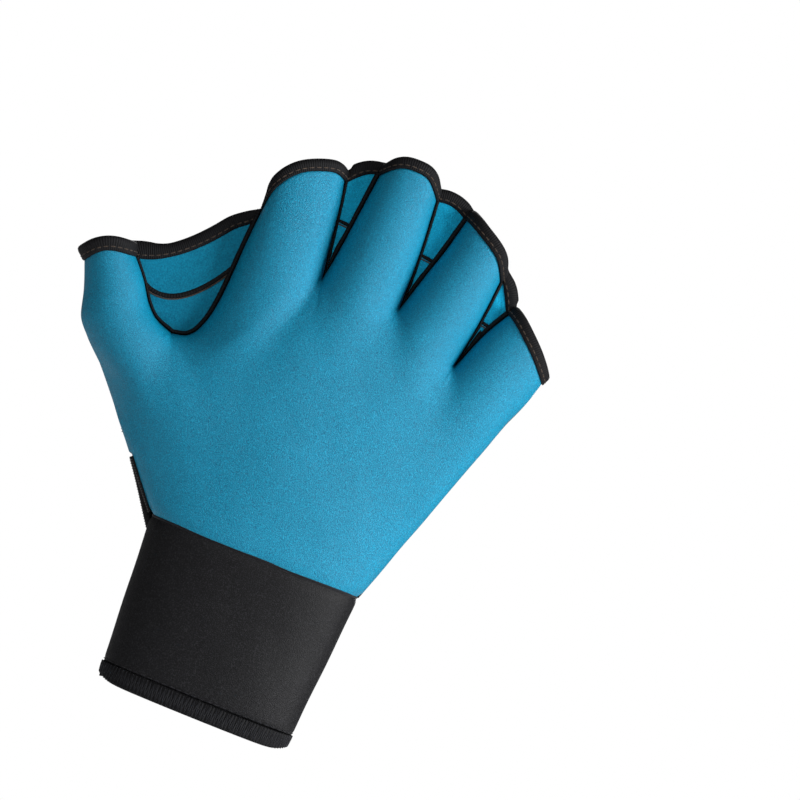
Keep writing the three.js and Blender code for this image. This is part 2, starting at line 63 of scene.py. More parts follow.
camera_data = bpy.data.cameras.new("picture_camera")
camera = bpy.data.objects.new("picture_camera", camera_data)
bpy.context.collection.objects.link(camera)
camera.location = (PICTURE_CENTRE[0], -CAMERA_DISTANCE, PICTURE_CENTRE[2])
camera.rotation_euler = (math.pi / 2, -PICTURE_LEAN, 0)
camera_data.sensor_width = 36
camera_data.lens = camera_data.sensor_width * CAMERA_DISTANCE / PICTURE_WIDTH
bpy.context.scene.camera = camera
print("lens in millimetres:", round(camera_data.lens))

# %% [markdown]
# ### A pale floor
# A studio floor is a big pale sheet.

# %% Floor
FLOOR_HEIGHT = -0.11
FLOOR_RADIUS = 0.6
FLOOR_CORNERS = 96


def new_material(name):
    """A new material, with its nodes and its shader."""
    material = bpy.data.materials.new(name)
    material.use_nodes = True
    shader = material.node_tree.nodes["Principled BSDF"]
    return material, material.node_tree, shader


def full_turn(count):
    """Even angles round a full turn."""
    return np.linspace(0, 2 * math.pi, count + 1)[:-1]


floor_material, _, floor_shader = new_material("pale_floor")
floor_shader.inputs["Base Color"].default_value = (0.88, 0.88, 0.88, 1)
floor_shader.inputs["Roughness"].default_value = 0.9
floor_points = [
    (FLOOR_RADIUS * math.cos(a), FLOOR_RADIUS * math.sin(a), FLOOR_HEIGHT) for a in full_turn(FLOOR_CORNERS)
]
floor_mesh = bpy.data.meshes.new("floor")
floor_mesh.from_pydata(floor_points, [], [list(range(FLOOR_CORNERS))])
floor_mesh.materials.append(floor_material)
floor = bpy.data.objects.new("floor", floor_mesh)
bpy.context.collection.objects.link(floor)
print("floor in metres below the hem:", -FLOOR_HEIGHT)

# %% [markdown]
# ### A white backdrop and a dim room
# The picture has a pure white ground. A white world would light the glove from all sides and flatten it, so
# the world has two strengths: white for what the camera sees directly, and dim for the light that falls on
# the cloth. The Light Path node tells the two apart. The Standard view keeps the white pure.

# %% World
ROOM_LIGHT = 0.13
WHITE = (1, 1, 1, 1)

world = bpy.data.worlds.new("pale_room")
world.use_nodes = True
room_tree = world.node_tree
room = room_tree.nodes["Background"]
room.inputs["Color"].default_value = WHITE
room.inputs["Strength"].default_value = ROOM_LIGHT
backdrop = room_tree.nodes.new("ShaderNodeBackground")
backdrop.inputs["Color"].default_value = WHITE
either = room_tree.nodes.new("ShaderNodeMixShader")
light_path = room_tree.nodes.new("ShaderNodeLightPath")
room_tree.links.new(light_path.outputs["Is Camera Ray"], either.inputs[0])
room_tree.links.new(room.outputs[0], either.inputs[1])
room_tree.links.new(backdrop.outputs[0], either.inputs[2])
room_tree.links.new(either.outputs[0], room_tree.nodes["World Output"].inputs["Surface"])
bpy.context.scene.world = world
bpy.context.scene.view_settings.view_transform = "Standard"
print("strength of the room's light:", ROOM_LIGHT)

# %% [markdown]
# ### Three soft lamps
# On the real glove the left flank of each finger lies in shade and its right flank is bright. So the strong
# lamp stands well to the right. A weak one in front opens the shade, and one behind lights the palm for the
# views from that side. Large square lamps give soft edges to the shade, as a studio's softboxes do.

# %% Lamps
# Name, place in metres, power in watts and side in metres
LAMPS = [
    ("key_lamp", (1.15, -0.6, 0.4), 26, 0.6),
    ("fill_lamp", (-0.3, -1.2, 0.9), 5, 0.6),
    ("back_lamp", (0.1, 1.15, 0.5), 9, 0.8),
]


def area_lamp(name, place, power, size):
    """A square soft lamp that faces the middle of the glove."""
    lamp_data = bpy.data.lights.new(name, "AREA")
    lamp_data.energy = power
    lamp_data.size = size
    lamp = bpy.data.objects.new(name, lamp_data)
    bpy.context.collection.objects.link(lamp)
    lamp.location = place
    aim = Vector(PICTURE_CENTRE) - lamp.location
    lamp.rotation_euler = aim.to_track_quat("-Z", "Y").to_euler()
    return lamp


lamps = [area_lamp(*row) for row in LAMPS]
print("lamps:", [lamp.name for lamp in lamps])

# %% [markdown]
# ## Finishes
# The back is a bright blue jersey on foam, matt with a fine grain. The palm is a charcoal knit with pale
# flecks, the cuff a black knit, and the edges are bound with ribbed tape. All of them are made of noise and
# waves laid on the cloth in millimetres, so that the grain has its real size on every piece.


# %% Colours
def srgb(red, green, blue):
    """A colour from 0 to 255 as the linear colour that a shader takes."""
    values = [c / 255 for c in (red, green, blue)]
    linear = [c / 12.92 if c <= 0.04045 else ((c + 0.055) / 1.055) ** 2.4 for c in values]
    return (*linear, 1)


print("the blue in linear light:", [round(c, 3) for c in srgb(0, 130, 166)])

# %% [markdown]
# ### Small helpers for nodes
# A material is a net of nodes, and a few kinds come again and again: noise for grain, a ramp that turns a value
# into a colour, a mix of two colours, a sum, and a bump. Each gets a short function, so that a finish reads
# like a recipe. Noise is laid on the object's own coordinates, times 1000, so that sizes are millimetres.

# %% Noise, ramps, mixes and bumps
def noise(tree, coordinates, size, detail=2.0, roughness=0.5):
    """Noise whose features are about size millimetres wide."""
    node = tree.nodes.new("ShaderNodeTexNoise")
    node.inputs["Scale"].default_value = 1 / size
    node.inputs["Detail"].default_value = detail
    node.inputs["Roughness"].default_value = roughness
    tree.links.new(coordinates, node.inputs["Vector"])
    return node.outputs["Fac"]


def ramp(tree, value, stops):
    """Turns a value into a colour or a grey by (place, colour) stops."""
    node = tree.nodes.new("ShaderNodeValToRGB")
    elements = node.color_ramp.elements
    while len(elements) < len(stops):
        elements.new(0.5)
    for element, (place, colour) in zip(elements, stops):
        element.position = place
        element.color = colour
    tree.links.new(value, node.inputs["Fac"])
    return node.outputs["Color"]


def feed(tree, socket, value):
    """Sets a socket to a value, or links it where the value is another node's output."""
    if isinstance(value, bpy.types.NodeSocket):
        tree.links.new(value, socket)
    else:
        socket.default_value = value


# The places of a Mix node's sockets for colours
MIX_SHARE, MIX_FIRST, MIX_SECOND, MIX_RESULT = 0, 6, 7, 2


def blend(tree, share, first, second, mode="MIX"):
    """Two colours mixed by a share; each may be a value or an output."""
    node = tree.nodes.new("ShaderNodeMix")
    node.data_type = "RGBA"
    node.blend_type = mode
    for place, value in ((MIX_SHARE, share), (MIX_FIRST, first), (MIX_SECOND, second)):
        feed(tree, node.inputs[place], value)
    return node.outputs[MIX_RESULT]


def maths(tree, operation, *values):
    """One sum on up to three values; each may be a number or an output."""
    node = tree.nodes.new("ShaderNodeMath")
    node.operation = operation
    for socket, value in zip(node.inputs, values):
        feed(tree, socket, value)
    return node.outputs["Value"]


def millimetres(tree):
    """The point on the object in millimetres."""
    place = tree.nodes.new("ShaderNodeTexCoord").outputs["Object"]
    node = tree.nodes.new("ShaderNodeVectorMath")
    node.operation = "SCALE"
    node.inputs["Scale"].default_value = 1000
    tree.links.new(place, node.inputs[0])
    return node.outputs["Vector"]


def raised(tree, shader, height, depth_mm):
    """Bumps on a finish: a height from 0 to 1 that stands for so many millimetres."""
    node = tree.nodes.new("ShaderNodeBump")
    node.inputs["Distance"].default_value = depth_mm / 1000
    tree.links.new(height, node.inputs["Height"])
    tree.links.new(node.outputs["Normal"], shader.inputs["Normal"])


print("a Mix node keeps its first colour at socket", MIX_FIRST)

# %% [markdown]
# ### A knitted face
# The faces of the foam are jersey: tiny loops that catch the light one by one. Each loop could be a thread, but
# there are far too many. At this size they show as a fine grain, so noise of the loops' size moves the colour
# and the bump together. Broad, faint patches keep large faces from looking printed.

# %% Knit
PATCH_SIZE = 22
PATCH_SHADE = (0.9, 0.9, 0.9, 1)
GRAIN_STOPS = (0.3, 0.5, 0.72)
FLECK_SIZE = 1.1
FLECK_EDGE = 0.07
BLACK = (0, 0, 0, 1)


def knit(
    name, dark, mid, light, fleck=None, fleck_from=0.6, grain=0.5, relief=0.2, rough=0.9, sheen=0.1, gloss=0.25
):
    """A matt knitted face: soft patches, a fine grain of loops, and pale flecks where they are given."""
    material, tree, shader = new_material(name)
    place = millimetres(tree)
    patches = noise(tree, place, PATCH_SIZE, 3)
    grains = noise(tree, place, grain, 3, 0.65)
    colour = ramp(tree, grains, list(zip(GRAIN_STOPS, (dark, mid, light))))
    shade = ramp(tree, patches, [(0.3, PATCH_SHADE), (0.7, WHITE)])
    colour = blend(tree, 1.0, colour, shade, "MULTIPLY")
    if fleck:
        flecks = noise(tree, place, grain * FLECK_SIZE, 1, 0.5)
        share = ramp(tree, flecks, [(fleck_from, BLACK), (fleck_from + FLECK_EDGE, WHITE)])
        colour = blend(tree, share, colour, fleck)
    tree.links.new(colour, shader.inputs["Base Color"])
    shader.inputs["Roughness"].default_value = rough
    shader.inputs["Sheen Weight"].default_value = sheen
    shader.inputs["Sheen Roughness"].default_value = 0.5
    shader.inputs["Specular IOR Level"].default_value = gloss
    raised(tree, shader, grains, relief)
    return material


print("the patches of a knit are", PATCH_SIZE, "millimetres wide")

# %% [markdown]
# ### A ribbed tape
# The edges are bound with a woven tape whose ribs run across it. The tape bends with every edge, so ribs laid
# on the object's coordinates would run the wrong way somewhere. Each tape has a UV map of its lengths in
# millimetres, and a wave along its first axis keeps the ribs square to the edge.

# %% Ribs
def ribbed(name, dark, light, pitch=0.8, relief=0.35, rough=0.7):
    """A woven tape with fine ribs across its length, laid on the lengths kept in the piece's UV map."""
    material, tree, shader = new_material(name)
    length = tree.nodes.new("ShaderNodeTexCoord").outputs["UV"]
    wave = tree.nodes.new("ShaderNodeTexWave")
    wave.bands_direction = "X"
    wave.inputs["Scale"].default_value = math.pi / 10 / pitch
    wave.inputs["Distortion"].default_value = 0.6
    wave.inputs["Detail"].default_value = 2
    wave.inputs["Detail Scale"].default_value = 3
    tree.links.new(length, wave.inputs["Vector"])
    grains = noise(tree, length, 0.5, 2, 0.6)
    height = maths(tree, "MULTIPLY_ADD", grains, 0.5, wave.outputs["Fac"])
    colour = ramp(tree, height, [(0.35, dark), (1.1, light)])
    tree.links.new(colour, shader.inputs["Base Color"])
    shader.inputs["Roughness"].default_value = rough
    shader.inputs["Specular IOR Level"].default_value = 0.2
    raised(tree, shader, height, relief)
    return material


print("ribs are worked out from the lengths in a piece's UV map")

# %% [markdown]
# ### The finishes of this glove
# The back is bright and slightly glossy, as its loops are flat and shiny. The webs are the same cloth, a little
# duller; the narrow ones lie in the shade of the fingers, so their copy has painted light: lighter colours that
# make up for that shade. The palm has pale flecks, the cuff is nearly black, and the strap's loops are
# coarse and quite matt.

# %% Finishes of the glove
blue_knit = knit(
    "blue_knit", srgb(0, 92, 124), srgb(0, 130, 166), srgb(20, 170, 210),
    grain=0.38, relief=0.32, rough=0.4, gloss=0.3, sheen=0,
)
web_knit = knit(
    "web_knit", srgb(0, 106, 138), srgb(0, 126, 160), srgb(8, 144, 180),
    grain=0.6, relief=0.3, rough=0.6, gloss=0.15, sheen=0,
)
# The webs' cloth again, with painted light: lighter colours for the narrow webs, which lie in the shade of the
# fingers.
narrow_web_painted_light_knit = knit(
    "narrow_web_painted_light_knit", srgb(0, 128, 166), srgb(0, 162, 204), srgb(24, 190, 232),
    grain=0.4, relief=0.3, rough=0.6, gloss=0.15, sheen=0,
)
palm_knit = knit(
    "palm_knit", srgb(30, 30, 29), srgb(44, 44, 42), srgb(64, 64, 61), fleck=srgb(104, 104, 98), fleck_from=0.62
)
black_knit = knit(
    "black_knit", srgb(2, 2, 4), srgb(8, 8, 11), srgb(20, 20, 24), fleck=srgb(30, 30, 33), fleck_from=0.55,
    grain=0.4, rough=0.5, gloss=0.2, sheen=0,
)
loop_face = knit(
    "loop_face", srgb(26, 26, 27), srgb(38, 38, 40), srgb(56, 56, 59), grain=0.9, relief=0.5, rough=1.0
)
lining_knit = knit("lining_knit", srgb(18, 18, 20), srgb(28, 28, 30), srgb(40, 40, 43), relief=0.15)
foam_core = knit(
    "foam_core", srgb(10, 10, 11), srgb(16, 16, 18), srgb(24, 24, 26), grain=0.4, relief=0.1, sheen=0
)
edge_tape = ribbed("edge_tape", srgb(4, 4, 6), srgb(16, 16, 19), relief=0.12)
seam_tape = ribbed("seam_tape", srgb(5, 5, 7), srgb(16, 16, 19), pitch=1.1, relief=0.12)


def thread_finish(name, dark, mid, light, rough=0.7):
    return knit(name, dark, mid, light, grain=0.3, relief=0.1, rough=rough)


dark_thread = thread_finish("dark_thread", srgb(8, 8, 12), srgb(16, 17, 22), srgb(32, 34, 42), rough=0.8)
brown_thread = thread_finish("brown_thread", srgb(40, 32, 27), srgb(66, 54, 45), srgb(98, 84, 70))
grey_thread = thread_finish("grey_thread", srgb(70, 74, 84), srgb(104, 110, 122), srgb(140, 146, 158))
print("finishes:", len(bpy.data.materials))

# %% [markdown]
# ## The shape of the glove
# A glove like this is cut flat and takes its shape from the hand. The outline of each finger is drawn as
# curves in the flat view, and the cloth then rises off that drawing as half an oval on the back and half an
# oval on the palm. The same named sizes as in the solid model are used, only with finer steps.

# %% Sizes, in millimetres
GLOVE_LENGTH = 229
GLOVE_SPAN = 185
CUFF_HEIGHT = 65
PALM_SEAM_DROP = 6
SEAM_WIDTH = 85
HEM_WIDTH = 76
WRIST_DEPTH = 37
PALM_DEPTH = 38
KNUCKLE_DEPTH = 35
FINGER_DEPTH = 25
ROOT_DEPTH = 31
WALL = 2.5
WEB_WALL = 2.0
GAP = 0.3
BINDING_WIDTH = 4.5
BINDING_LAP = 0.8
SEAM_BAR_WIDTH = 1.8
SEAM_BAR_HEIGHT = 2.8
HEM_HEIGHT = 7
HEM_LAP = 0.4
SLIT_BINDING_WIDTH = 3
SLIT_SETBACK = {"back": 4, "palm": 9}
SLIT_TOP_SETBACK = SLIT_BINDING_WIDTH + 3 * GAP
STRAP_HEIGHT = 53
STRAP_BOTTOM = 0.8
STRAP_BINDING_WIDTH = 5
SLIT_SHARE = 0.38
WRAP_SHARE = 0.7
SIDE_WRAP = 0.65
HAND_LENGTH = GLOVE_LENGTH - CUFF_HEIGHT - BINDING_WIDTH
WEB_FLOOR = WEB_WALL / 2 + GAP
OUTWARD = {"back": -1, "palm": 1}

# Places in the flat drawing, as shares of the glove's span and of the hand's length
ROOTS = [(-0.465, 0.313), (-0.33, 0.419), (-0.084, 0.674), (0.086, 0.677), (0.235, 0.599), (0.378, 0.514)]
MOUTH_LEFT = [(-0.554, 0.505), (-0.251, 0.771), (-0.054, 0.956), (0.148, 0.934), (0.3, 0.762)]
MOUTH_RIGHT = [(-0.459, 0.558), (-0.117, 0.912), (0.073, 0.95), (0.257, 0.828), (0.415, 0.639)]
LEFT_BENDS = [
    [(-0.497, 0.345), (-0.516, 0.376), (-0.532, 0.439)],
    [(-0.297, 0.429), (-0.276, 0.464), (-0.263, 0.533), (-0.256, 0.68)],
    [(-0.07, 0.784)],
    [(0.122, 0.818)],
    [(0.27, 0.699)],
]
RIGHT_BENDS = [
    [(-0.368, 0.436), (-0.395, 0.464), (-0.424, 0.511)],
    [(-0.105, 0.837)],
    [(0.082, 0.821)],
    [(0.251, 0.743)],
    [(0.4, 0.577)],
]
ROOT_BENDS = [[(-0.4, 0.361)], [(-0.265, 0.399), (-0.175, 0.49)], [], [], []]
MOUTH_BENDS = [
    [(-0.53, 0.536), (-0.503, 0.552)],
    [(-0.241, 0.837), (-0.205, 0.89), (-0.146, 0.92)],
    [(-0.022, 0.987), (0.011, 0.994), (0.043, 0.987)],
    [(0.178, 0.915), (0.232, 0.875)],
    [(0.324, 0.743), (0.378, 0.687)],
]
# How each finger shares the wrist's width, how full it is, and how far down the hand the valleys reach
NAMES = ["thumb", "index", "middle", "ring", "little"]
WRIST_ENDS = [0.17, 0.42, 0.62, 0.81, 1.0]
WRIST_STARTS = [0.0, *WRIST_ENDS[:-1]]
FULLNESS = [0.9, 1.0, 1.0, 0.95, 0.86]
VALLEY_SHARES = [0.45, 0.45, 0.36, 0.36, 0.4, 0.4]
# How far each web's top and seam hang, and where its seam meets the fingers on its left and right
WEBS = [
    {"name": "thumb", "top_sag": 0.041, "seam_sag": 0.068, "left_share": 0.74, "right_share": 0.67},
    {"name": "index", "top_sag": -0.009, "seam_sag": 0, "left_share": 0.6, "right_share": 0.5},
    {"name": "middle", "top_sag": -0.009, "seam_sag": 0, "left_share": 0.5, "right_share": 0.52},
    {"name": "ring", "top_sag": -0.005, "seam_sag": 0, "left_share": 0.53, "right_share": 0.7},
]
print("length and span in millimetres:", GLOVE_LENGTH, GLOVE_SPAN)

# %% [markdown]
# ### Curves in the flat drawing
# The outline of a finger is a smooth line through a few points, and each point is a share of the hand's width
# and length, so that the drawing stretches with the glove's sizes. A curve is kept as a function that gives the
# point at any share of its length: then the two sides of a finger can be walked in step.

# %% Flat curves of the fingers
CURVE_STEPS = 60


def smooth(value, low, high):
    """0 below low, 1 above high, and an S between them."""
    t = np.clip((value - low) / (high - low), 0, 1)
    return t * t * (3 - 2 * t)


def mix(first, second, share):
    return first + (second - first) * share


def hand_point(share):
    return np.array([share[0] * GLOVE_SPAN, CUFF_HEIGHT + share[1] * HAND_LENGTH])


def curve_through(points):
    """A smooth curve through flat points, which gives the point at each share of its length."""
    knots = np.array(points, float)
    padded = np.vstack([knots[:1], knots, knots[-1:]])
    t = np.linspace(0, 1, CURVE_STEPS)[:, None]
    runs = []
    for a, b, c, d in zip(padded, padded[1:], padded[2:], padded[3:]):
        start, end = (c - a) / 2, (d - b) / 2
        cubic = (2 * b - 2 * c + start + end) * t**3 + (3 * c - 3 * b - 2 * start - end) * t**2
        runs.append(cubic + start * t + b)
    line = np.vstack([run[:-1] for run in runs] + [knots[-1:]])
    steps = np.linalg.norm(np.diff(line, axis=0), axis=1)
    length = np.concatenate([[0], np.cumsum(steps)])

    def at(share):
        reach = np.asarray(share, float) * length[-1]
        return np.stack([np.interp(reach, length, line[:, i]) for i in range(line.shape[1])], -1)

    at.length = length[-1]
    return at


def hand_curve(shares):
    return curve_through([hand_point(s) for s in shares])


LEFT = [hand_curve([ROOTS[k], *LEFT_BENDS[k], MOUTH_LEFT[k]]) for k in range(5)]
RIGHT = [hand_curve([ROOTS[k + 1], *RIGHT_BENDS[k], MOUTH_RIGHT[k]]) for k in range(5)]
ROOT = [hand_curve([ROOTS[k], *ROOT_BENDS[k], ROOTS[k + 1]]) for k in range(5)]
MOUTH = [hand_curve([MOUTH_LEFT[k], *MOUTH_BENDS[k], MOUTH_RIGHT[k]]) for k in range(5)]
print("finger sides in millimetres:", [round(c.length) for c in LEFT])

# %% [markdown]
# ### Patches between four curves
# A finger's lobe is bounded by its root, its mouth and its two sides. A Coons patch fills such a frame evenly:
# it blends the two pairs of opposite edges, and takes away the corners that this counts twice. The hand between
# the cuff and the roots is one more patch, whose left side bends at the top of the slit.

# %% Flat patches between four curves
def patch(bottom, top, left, right):
    """A flat patch between four edges that share their corners."""

    def at(u, v):
        u, v = np.broadcast_arrays(np.asarray(u, float), np.asarray(v, float))
        a, b = u[..., None], v[..., None]
        point = bottom(u) * (1 - b) + top(u) * b + left(v) * (1 - a) + right(v) * a
        point = point - bottom(0) * (1 - a) * (1 - b) - bottom(1) * a * (1 - b)
        return point - top(0) * (1 - a) * b - top(1) * a * b

    return at


def joined_runs(runs):
    """Runs end to end, where each starts with the last value of the one before it."""
    return np.concatenate([run[:-1] for run in runs[:-1]] + [runs[-1]])


def cuff_edge(height, share):
    return (share - 0.5) * mix(HEM_WIDTH, SEAM_WIDTH, height / CUFF_HEIGHT)


def rim_height(side, share):
    """Where the cuff ends and the hand starts; the palm's rim drops towards the thumb."""
    drop = PALM_SEAM_DROP * smooth(1 - np.asarray(share, float), 0.1, 0.6)
    return CUFF_HEIGHT - (drop if side == "palm" else 0 * drop)


FINGER_MAPS = [patch(ROOT[k], MOUTH[k], LEFT[k], RIGHT[k]) for k in range(5)]
ROOT_STEPS = np.linspace(0, 1, 40)
root_shares = joined_runs([np.linspace(*ends, len(ROOT_STEPS)) for ends in zip(WRIST_STARTS, WRIST_ENDS)])
root_line = joined_runs([root(ROOT_STEPS) for root in ROOT])


def root_row(share):
    return np.stack([np.interp(share, root_shares, root_line[:, i]) for i in range(2)], -1)


def body_map(side):
    """The flat map of the hand between the cuff and the roots of the fingers."""

    def wrist(share):
        share = np.asarray(share, float)
        return np.stack([cuff_edge(CUFF_HEIGHT, share), rim_height(side, share)], -1)

    corner = np.array([cuff_edge(CUFF_HEIGHT, 0), CUFF_HEIGHT])
    slit_top = mix(corner, hand_point(ROOTS[0]), SLIT_SHARE)

    def left(v):
        v = np.asarray(v, float)[..., None]
        below = mix(wrist(0), slit_top, v / SLIT_SHARE)
        above = mix(slit_top, hand_point(ROOTS[0]), (v - SLIT_SHARE) / (1 - SLIT_SHARE))
        return np.where(v < SLIT_SHARE, below, above)

    def right(v):
        return mix(wrist(1), hand_point(ROOTS[5]), np.asarray(v, float)[..., None])

    return patch(wrist, root_row, left, right)


BODY_MAPS = {side: body_map(side) for side in OUTWARD}
print("middle of the palm, flat:", BODY_MAPS["palm"](0.5, 0.5).round(1))

# %% [markdown]
# ### How far the cloth rises
# Across a finger the cloth runs as half an oval from one side seam to the other, measured by a turn from 0 to
# pi. Below the roots the five half ovals melt into the wide oval of the hand, and a valley opens out below each
# notch. The cuff is a flatter oval than the hand, which fills its cloth more.

# %% How far the cloth rises off the flat drawing
OVAL_FULLNESS = 0.4
ROUND_FROM_WRIST = 0.35
FADE_SHARE = 0.85


def across_at(turn):
    return (1 - np.cos(turn)) / 2


def wrist_share(k, across):
    return mix(WRIST_STARTS[k], WRIST_ENDS[k], across)


def round_rise(share):
    """A plain half oval, as over the middle of the hand."""
    return np.sqrt(np.clip(1 - (2 * share - 1) ** 2, 0, 1))


def oval_rise(share):
    """A fuller half oval with a flatter top, as at the cuff."""
    arch = round_rise(share)
    return arch * (1 + OVAL_FULLNESS) / (1 + OVAL_FULLNESS * arch)


def body_depth(v):
    return mix(mix(WRIST_DEPTH, PALM_DEPTH, smooth(v, 0, 0.4)), KNUCKLE_DEPTH, v * v) / 2


def crest_depth(k, turn, v):
    """Towards its sides a finger takes the mean fullness of itself and its neighbour."""
    left, right = FULLNESS[max(k - 1, 0)], FULLNESS[min(k + 1, 4)]
    mean = (FULLNESS[k] + np.where(turn < math.pi / 2, left, right)) / 2
    fullness = mix(FULLNESS[k], mean, np.cos(turn) ** 2)
    return fullness * mix(ROOT_DEPTH, FINGER_DEPTH, v**1.5) / 2


def side_depth(k, across):
    return (0 if k == 0 else WEB_FLOOR * (1 - across)) + (0 if k == 4 else WEB_FLOOR * across)


def body_rise(k, turn, v):
    """Below the roots: a valley opens out below each notch, and the outer sides turn into the hand's oval."""
    across, side = across_at(turn), np.abs(np.cos(turn))
    share = wrist_share(k, across)
    oval = body_depth(v) * mix(oval_rise(share), round_rise(share), smooth(v, 0, ROUND_FROM_WRIST))
    crest = crest_depth(k, turn, 0 * v)
    faded = smooth((1 - v) / FADE_SHARE, 0, 1)
    below = np.clip((1 - v) / mix(VALLEY_SHARES[k], VALLEY_SHARES[k + 1], across), 0, 1)
    opened = mix(smooth(below, 0, 1), below, side**8)
    steepness = side * (1 - 0.2 * smooth(below, 0, 0.4) * side**4)
    profile = np.sqrt(np.clip(1 - (steepness * (1 - opened)) ** 2, 0, 1))
    inner = mix(side_depth(k, across), mix(crest, oval, faded), profile)
    outer = mix(crest * np.sin(turn), oval, faded)
    outer_half = (turn < math.pi / 2) & (k == 0) | (turn >= math.pi / 2) & (k == 4)
    return np.where(outer_half, outer, inner)


def finger_rise(k, turn, v):
    return mix(side_depth(k, across_at(turn)), crest_depth(k, turn, v), np.clip(np.sin(turn), 0, 1))


def surface(side, zone, k, turn, v):
    """A point of the glove: on the hand's body below the roots, or on a finger above them."""
    turn, v = np.broadcast_arrays(np.asarray(turn, float), np.asarray(v, float))
    if zone == "body":
        flat = BODY_MAPS[side](wrist_share(k, across_at(turn)), v)
    else:
        flat = FINGER_MAPS[k](across_at(turn), v)
    beyond = (turn < 0) | (turn > math.pi)
    inside = np.where(turn < 0, -turn, np.where(turn > math.pi, 2 * math.pi - turn, turn))
    rise = (body_rise if zone == "body" else finger_rise)(k, inside, v) * np.where(beyond, -1, 1)
    return np.stack([flat[..., 0], OUTWARD[side] * rise, flat[..., 1]], -1)


print("highest point of the hand's oval:", round(float(body_depth(0.5)), 1), "millimetres")

# %% [markdown]
# ### Slopes, and where the cloth ends
# Tapes and threads have to stand square to the cloth, so its normal is needed anywhere: it is the cross product
# of two slopes, one across and one along. On the thumb's side the back wraps round to the palm, and beside the
# slit both sides are set back, so the turn at which the cloth starts is worked out from those slopes.

# %% Slopes, normals and the first and last turn
SLOPE_TURN = 0.01
SLOPE_SHARE = 0.004


def unit(vectors):
    return vectors / np.maximum(np.linalg.norm(vectors, axis=-1, keepdims=True), 1e-9)


def slopes(side, zone, k, turn, v):
    """How the point moves with the turn, and with the share along the finger or the hand."""
    low, high = np.maximum(v - SLOPE_SHARE, 0), np.minimum(v + SLOPE_SHARE, 1)
    before, after = (surface(side, zone, k, turn + step, v) for step in (-SLOPE_TURN, SLOPE_TURN))
    along = (surface(side, zone, k, turn, high) - surface(side, zone, k, turn, low)) / (high - low)[..., None]
    return (after - before) / (2 * SLOPE_TURN), along


def surface_normal(side, zone, k, turn, v):
    across, along = slopes(side, zone, k, turn, v)
    return unit(np.cross(across, along)) * -OUTWARD[side]


def start_turn(side, zone, v):
    """Where the cloth starts at the thumb's side: wrapped round to the palm, or set back at the slit."""
    v = np.asarray(v, float)
    closed = (v >= SLIT_SHARE) | (zone == "finger")
    wrap = SIDE_WRAP * (smooth(v, SLIT_SHARE, WRAP_SHARE) if zone == "body" else np.ones_like(v))
    turn = -wrap if side == "back" else wrap
    setback = mix(SLIT_SETBACK[side], SLIT_TOP_SETBACK, np.minimum(v / SLIT_SHARE, 1))
    across, _ = slopes(side, zone, 0, turn, v)
    return turn + np.where(closed, GAP / 2, setback) / np.linalg.norm(across, axis=-1)


def end_turn(side, zone, v):
    v = np.asarray(v, float)
    across, _ = slopes(side, zone, 4, np.full_like(v, math.pi), v)
    return math.pi - GAP / 2 / np.linalg.norm(across, axis=-1)


print("thumb's crest in millimetres:", surface("back", "finger", 0, math.pi / 2, 0.5).round(1))

# %% [markdown]
# ## Making meshes
# Every piece is either a grid of points, a section swept along a line, or a row of small stitches. Each
# comes with a UV map in millimetres along the piece, so that ribs run across a tape whichever way it turns.
# All shapes are made from arrays of points at once, which is quicker and steadier than Blender's operators.

# %% Placing a piece
def place_piece(name, points, faces, materials, uv=None, slot=None, replaces=()):
    """A smooth mesh object from points in millimetres, riding on the glove's body."""
    mesh = bpy.data.meshes.new(name)
    mesh.from_pydata((np.asarray(points, float) / 1000).tolist(), [], faces)
    for material in materials:
        mesh.materials.append(material)
    if uv is not None:
        corners = np.zeros(len(mesh.loops), int)
        mesh.loops.foreach_get("vertex_index", corners)
        mesh.uv_layers.new(name="lengths").data.foreach_set("uv", np.asarray(uv, float)[corners].ravel())
    mesh.shade_smooth()
    obj = bpy.data.objects.new(name, mesh)
    bpy.context.collection.objects.link(obj)
    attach(obj, "root")
    if replaces:
        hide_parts(*replaces)
    return obj


print("pieces are worked out in millimetres and kept in metres")

# %% [markdown]
# ### Grids and sweeps
# Cloth is a grid: rows and columns of points with a quad in each gap. A tape or a cord is a sweep: one section is
# carried along a line and joined to itself. The same grid function makes the faces of both. A bevelled curve could
# make a cord too, but not a folded tape that stands square to the cloth all along.

# %% Grids and sweeps
def grid_numbers(grid):
    """The number of each point of a grid, row by row."""
    return np.arange(grid.shape[0] * grid.shape[1]).reshape(grid.shape[:2])


def grid_faces(rows, flipped=False):
    """Quads between the rows of an array of point numbers."""
    rows = np.asarray(rows)
    corners = [rows[:-1, :-1], rows[:-1, 1:], rows[1:, 1:], rows[1:, :-1]]
    faces = np.stack(corners, -1).reshape(-1, 4)
    return (faces[:, ::-1] if flipped else faces).tolist()


def grid_uv(points):
    """Lengths across and along a grid of points."""
    across = np.linalg.norm(np.diff(points, axis=1), axis=-1)
    along = np.linalg.norm(np.diff(points, axis=0), axis=-1)
    u = np.concatenate([np.zeros((len(points), 1)), np.cumsum(across, 1)], 1)
    v = np.concatenate([np.zeros((1, points.shape[1])), np.cumsum(along, 0)], 0)
    return np.stack([u, v], -1)


def sweep(sections, closed=False):
    """Points, faces and UVs of sections joined one to the next, with caps on open ends."""
    count, size = sections.shape[:2]
    numbers = np.arange(count * size).reshape(count, size)
    numbers = np.concatenate([numbers, numbers[:, :1]], 1)
    rows = np.concatenate([numbers, numbers[:1]], 0) if closed else numbers
    faces = grid_faces(rows)
    if not closed:
        faces += [numbers[0, :-1].tolist(), numbers[-1, :-1][::-1].tolist()]
    middle = sections.mean(1)
    along = np.concatenate([[0], np.cumsum(np.linalg.norm(np.diff(middle, axis=0), axis=-1))])
    around = np.concatenate([[0], np.cumsum(np.linalg.norm(np.diff(sections[0], axis=0), axis=-1))])
    uv = np.stack(np.meshgrid(along, around, indexing="ij"), -1).reshape(-1, 2)
    return sections.reshape(-1, 3), faces, uv


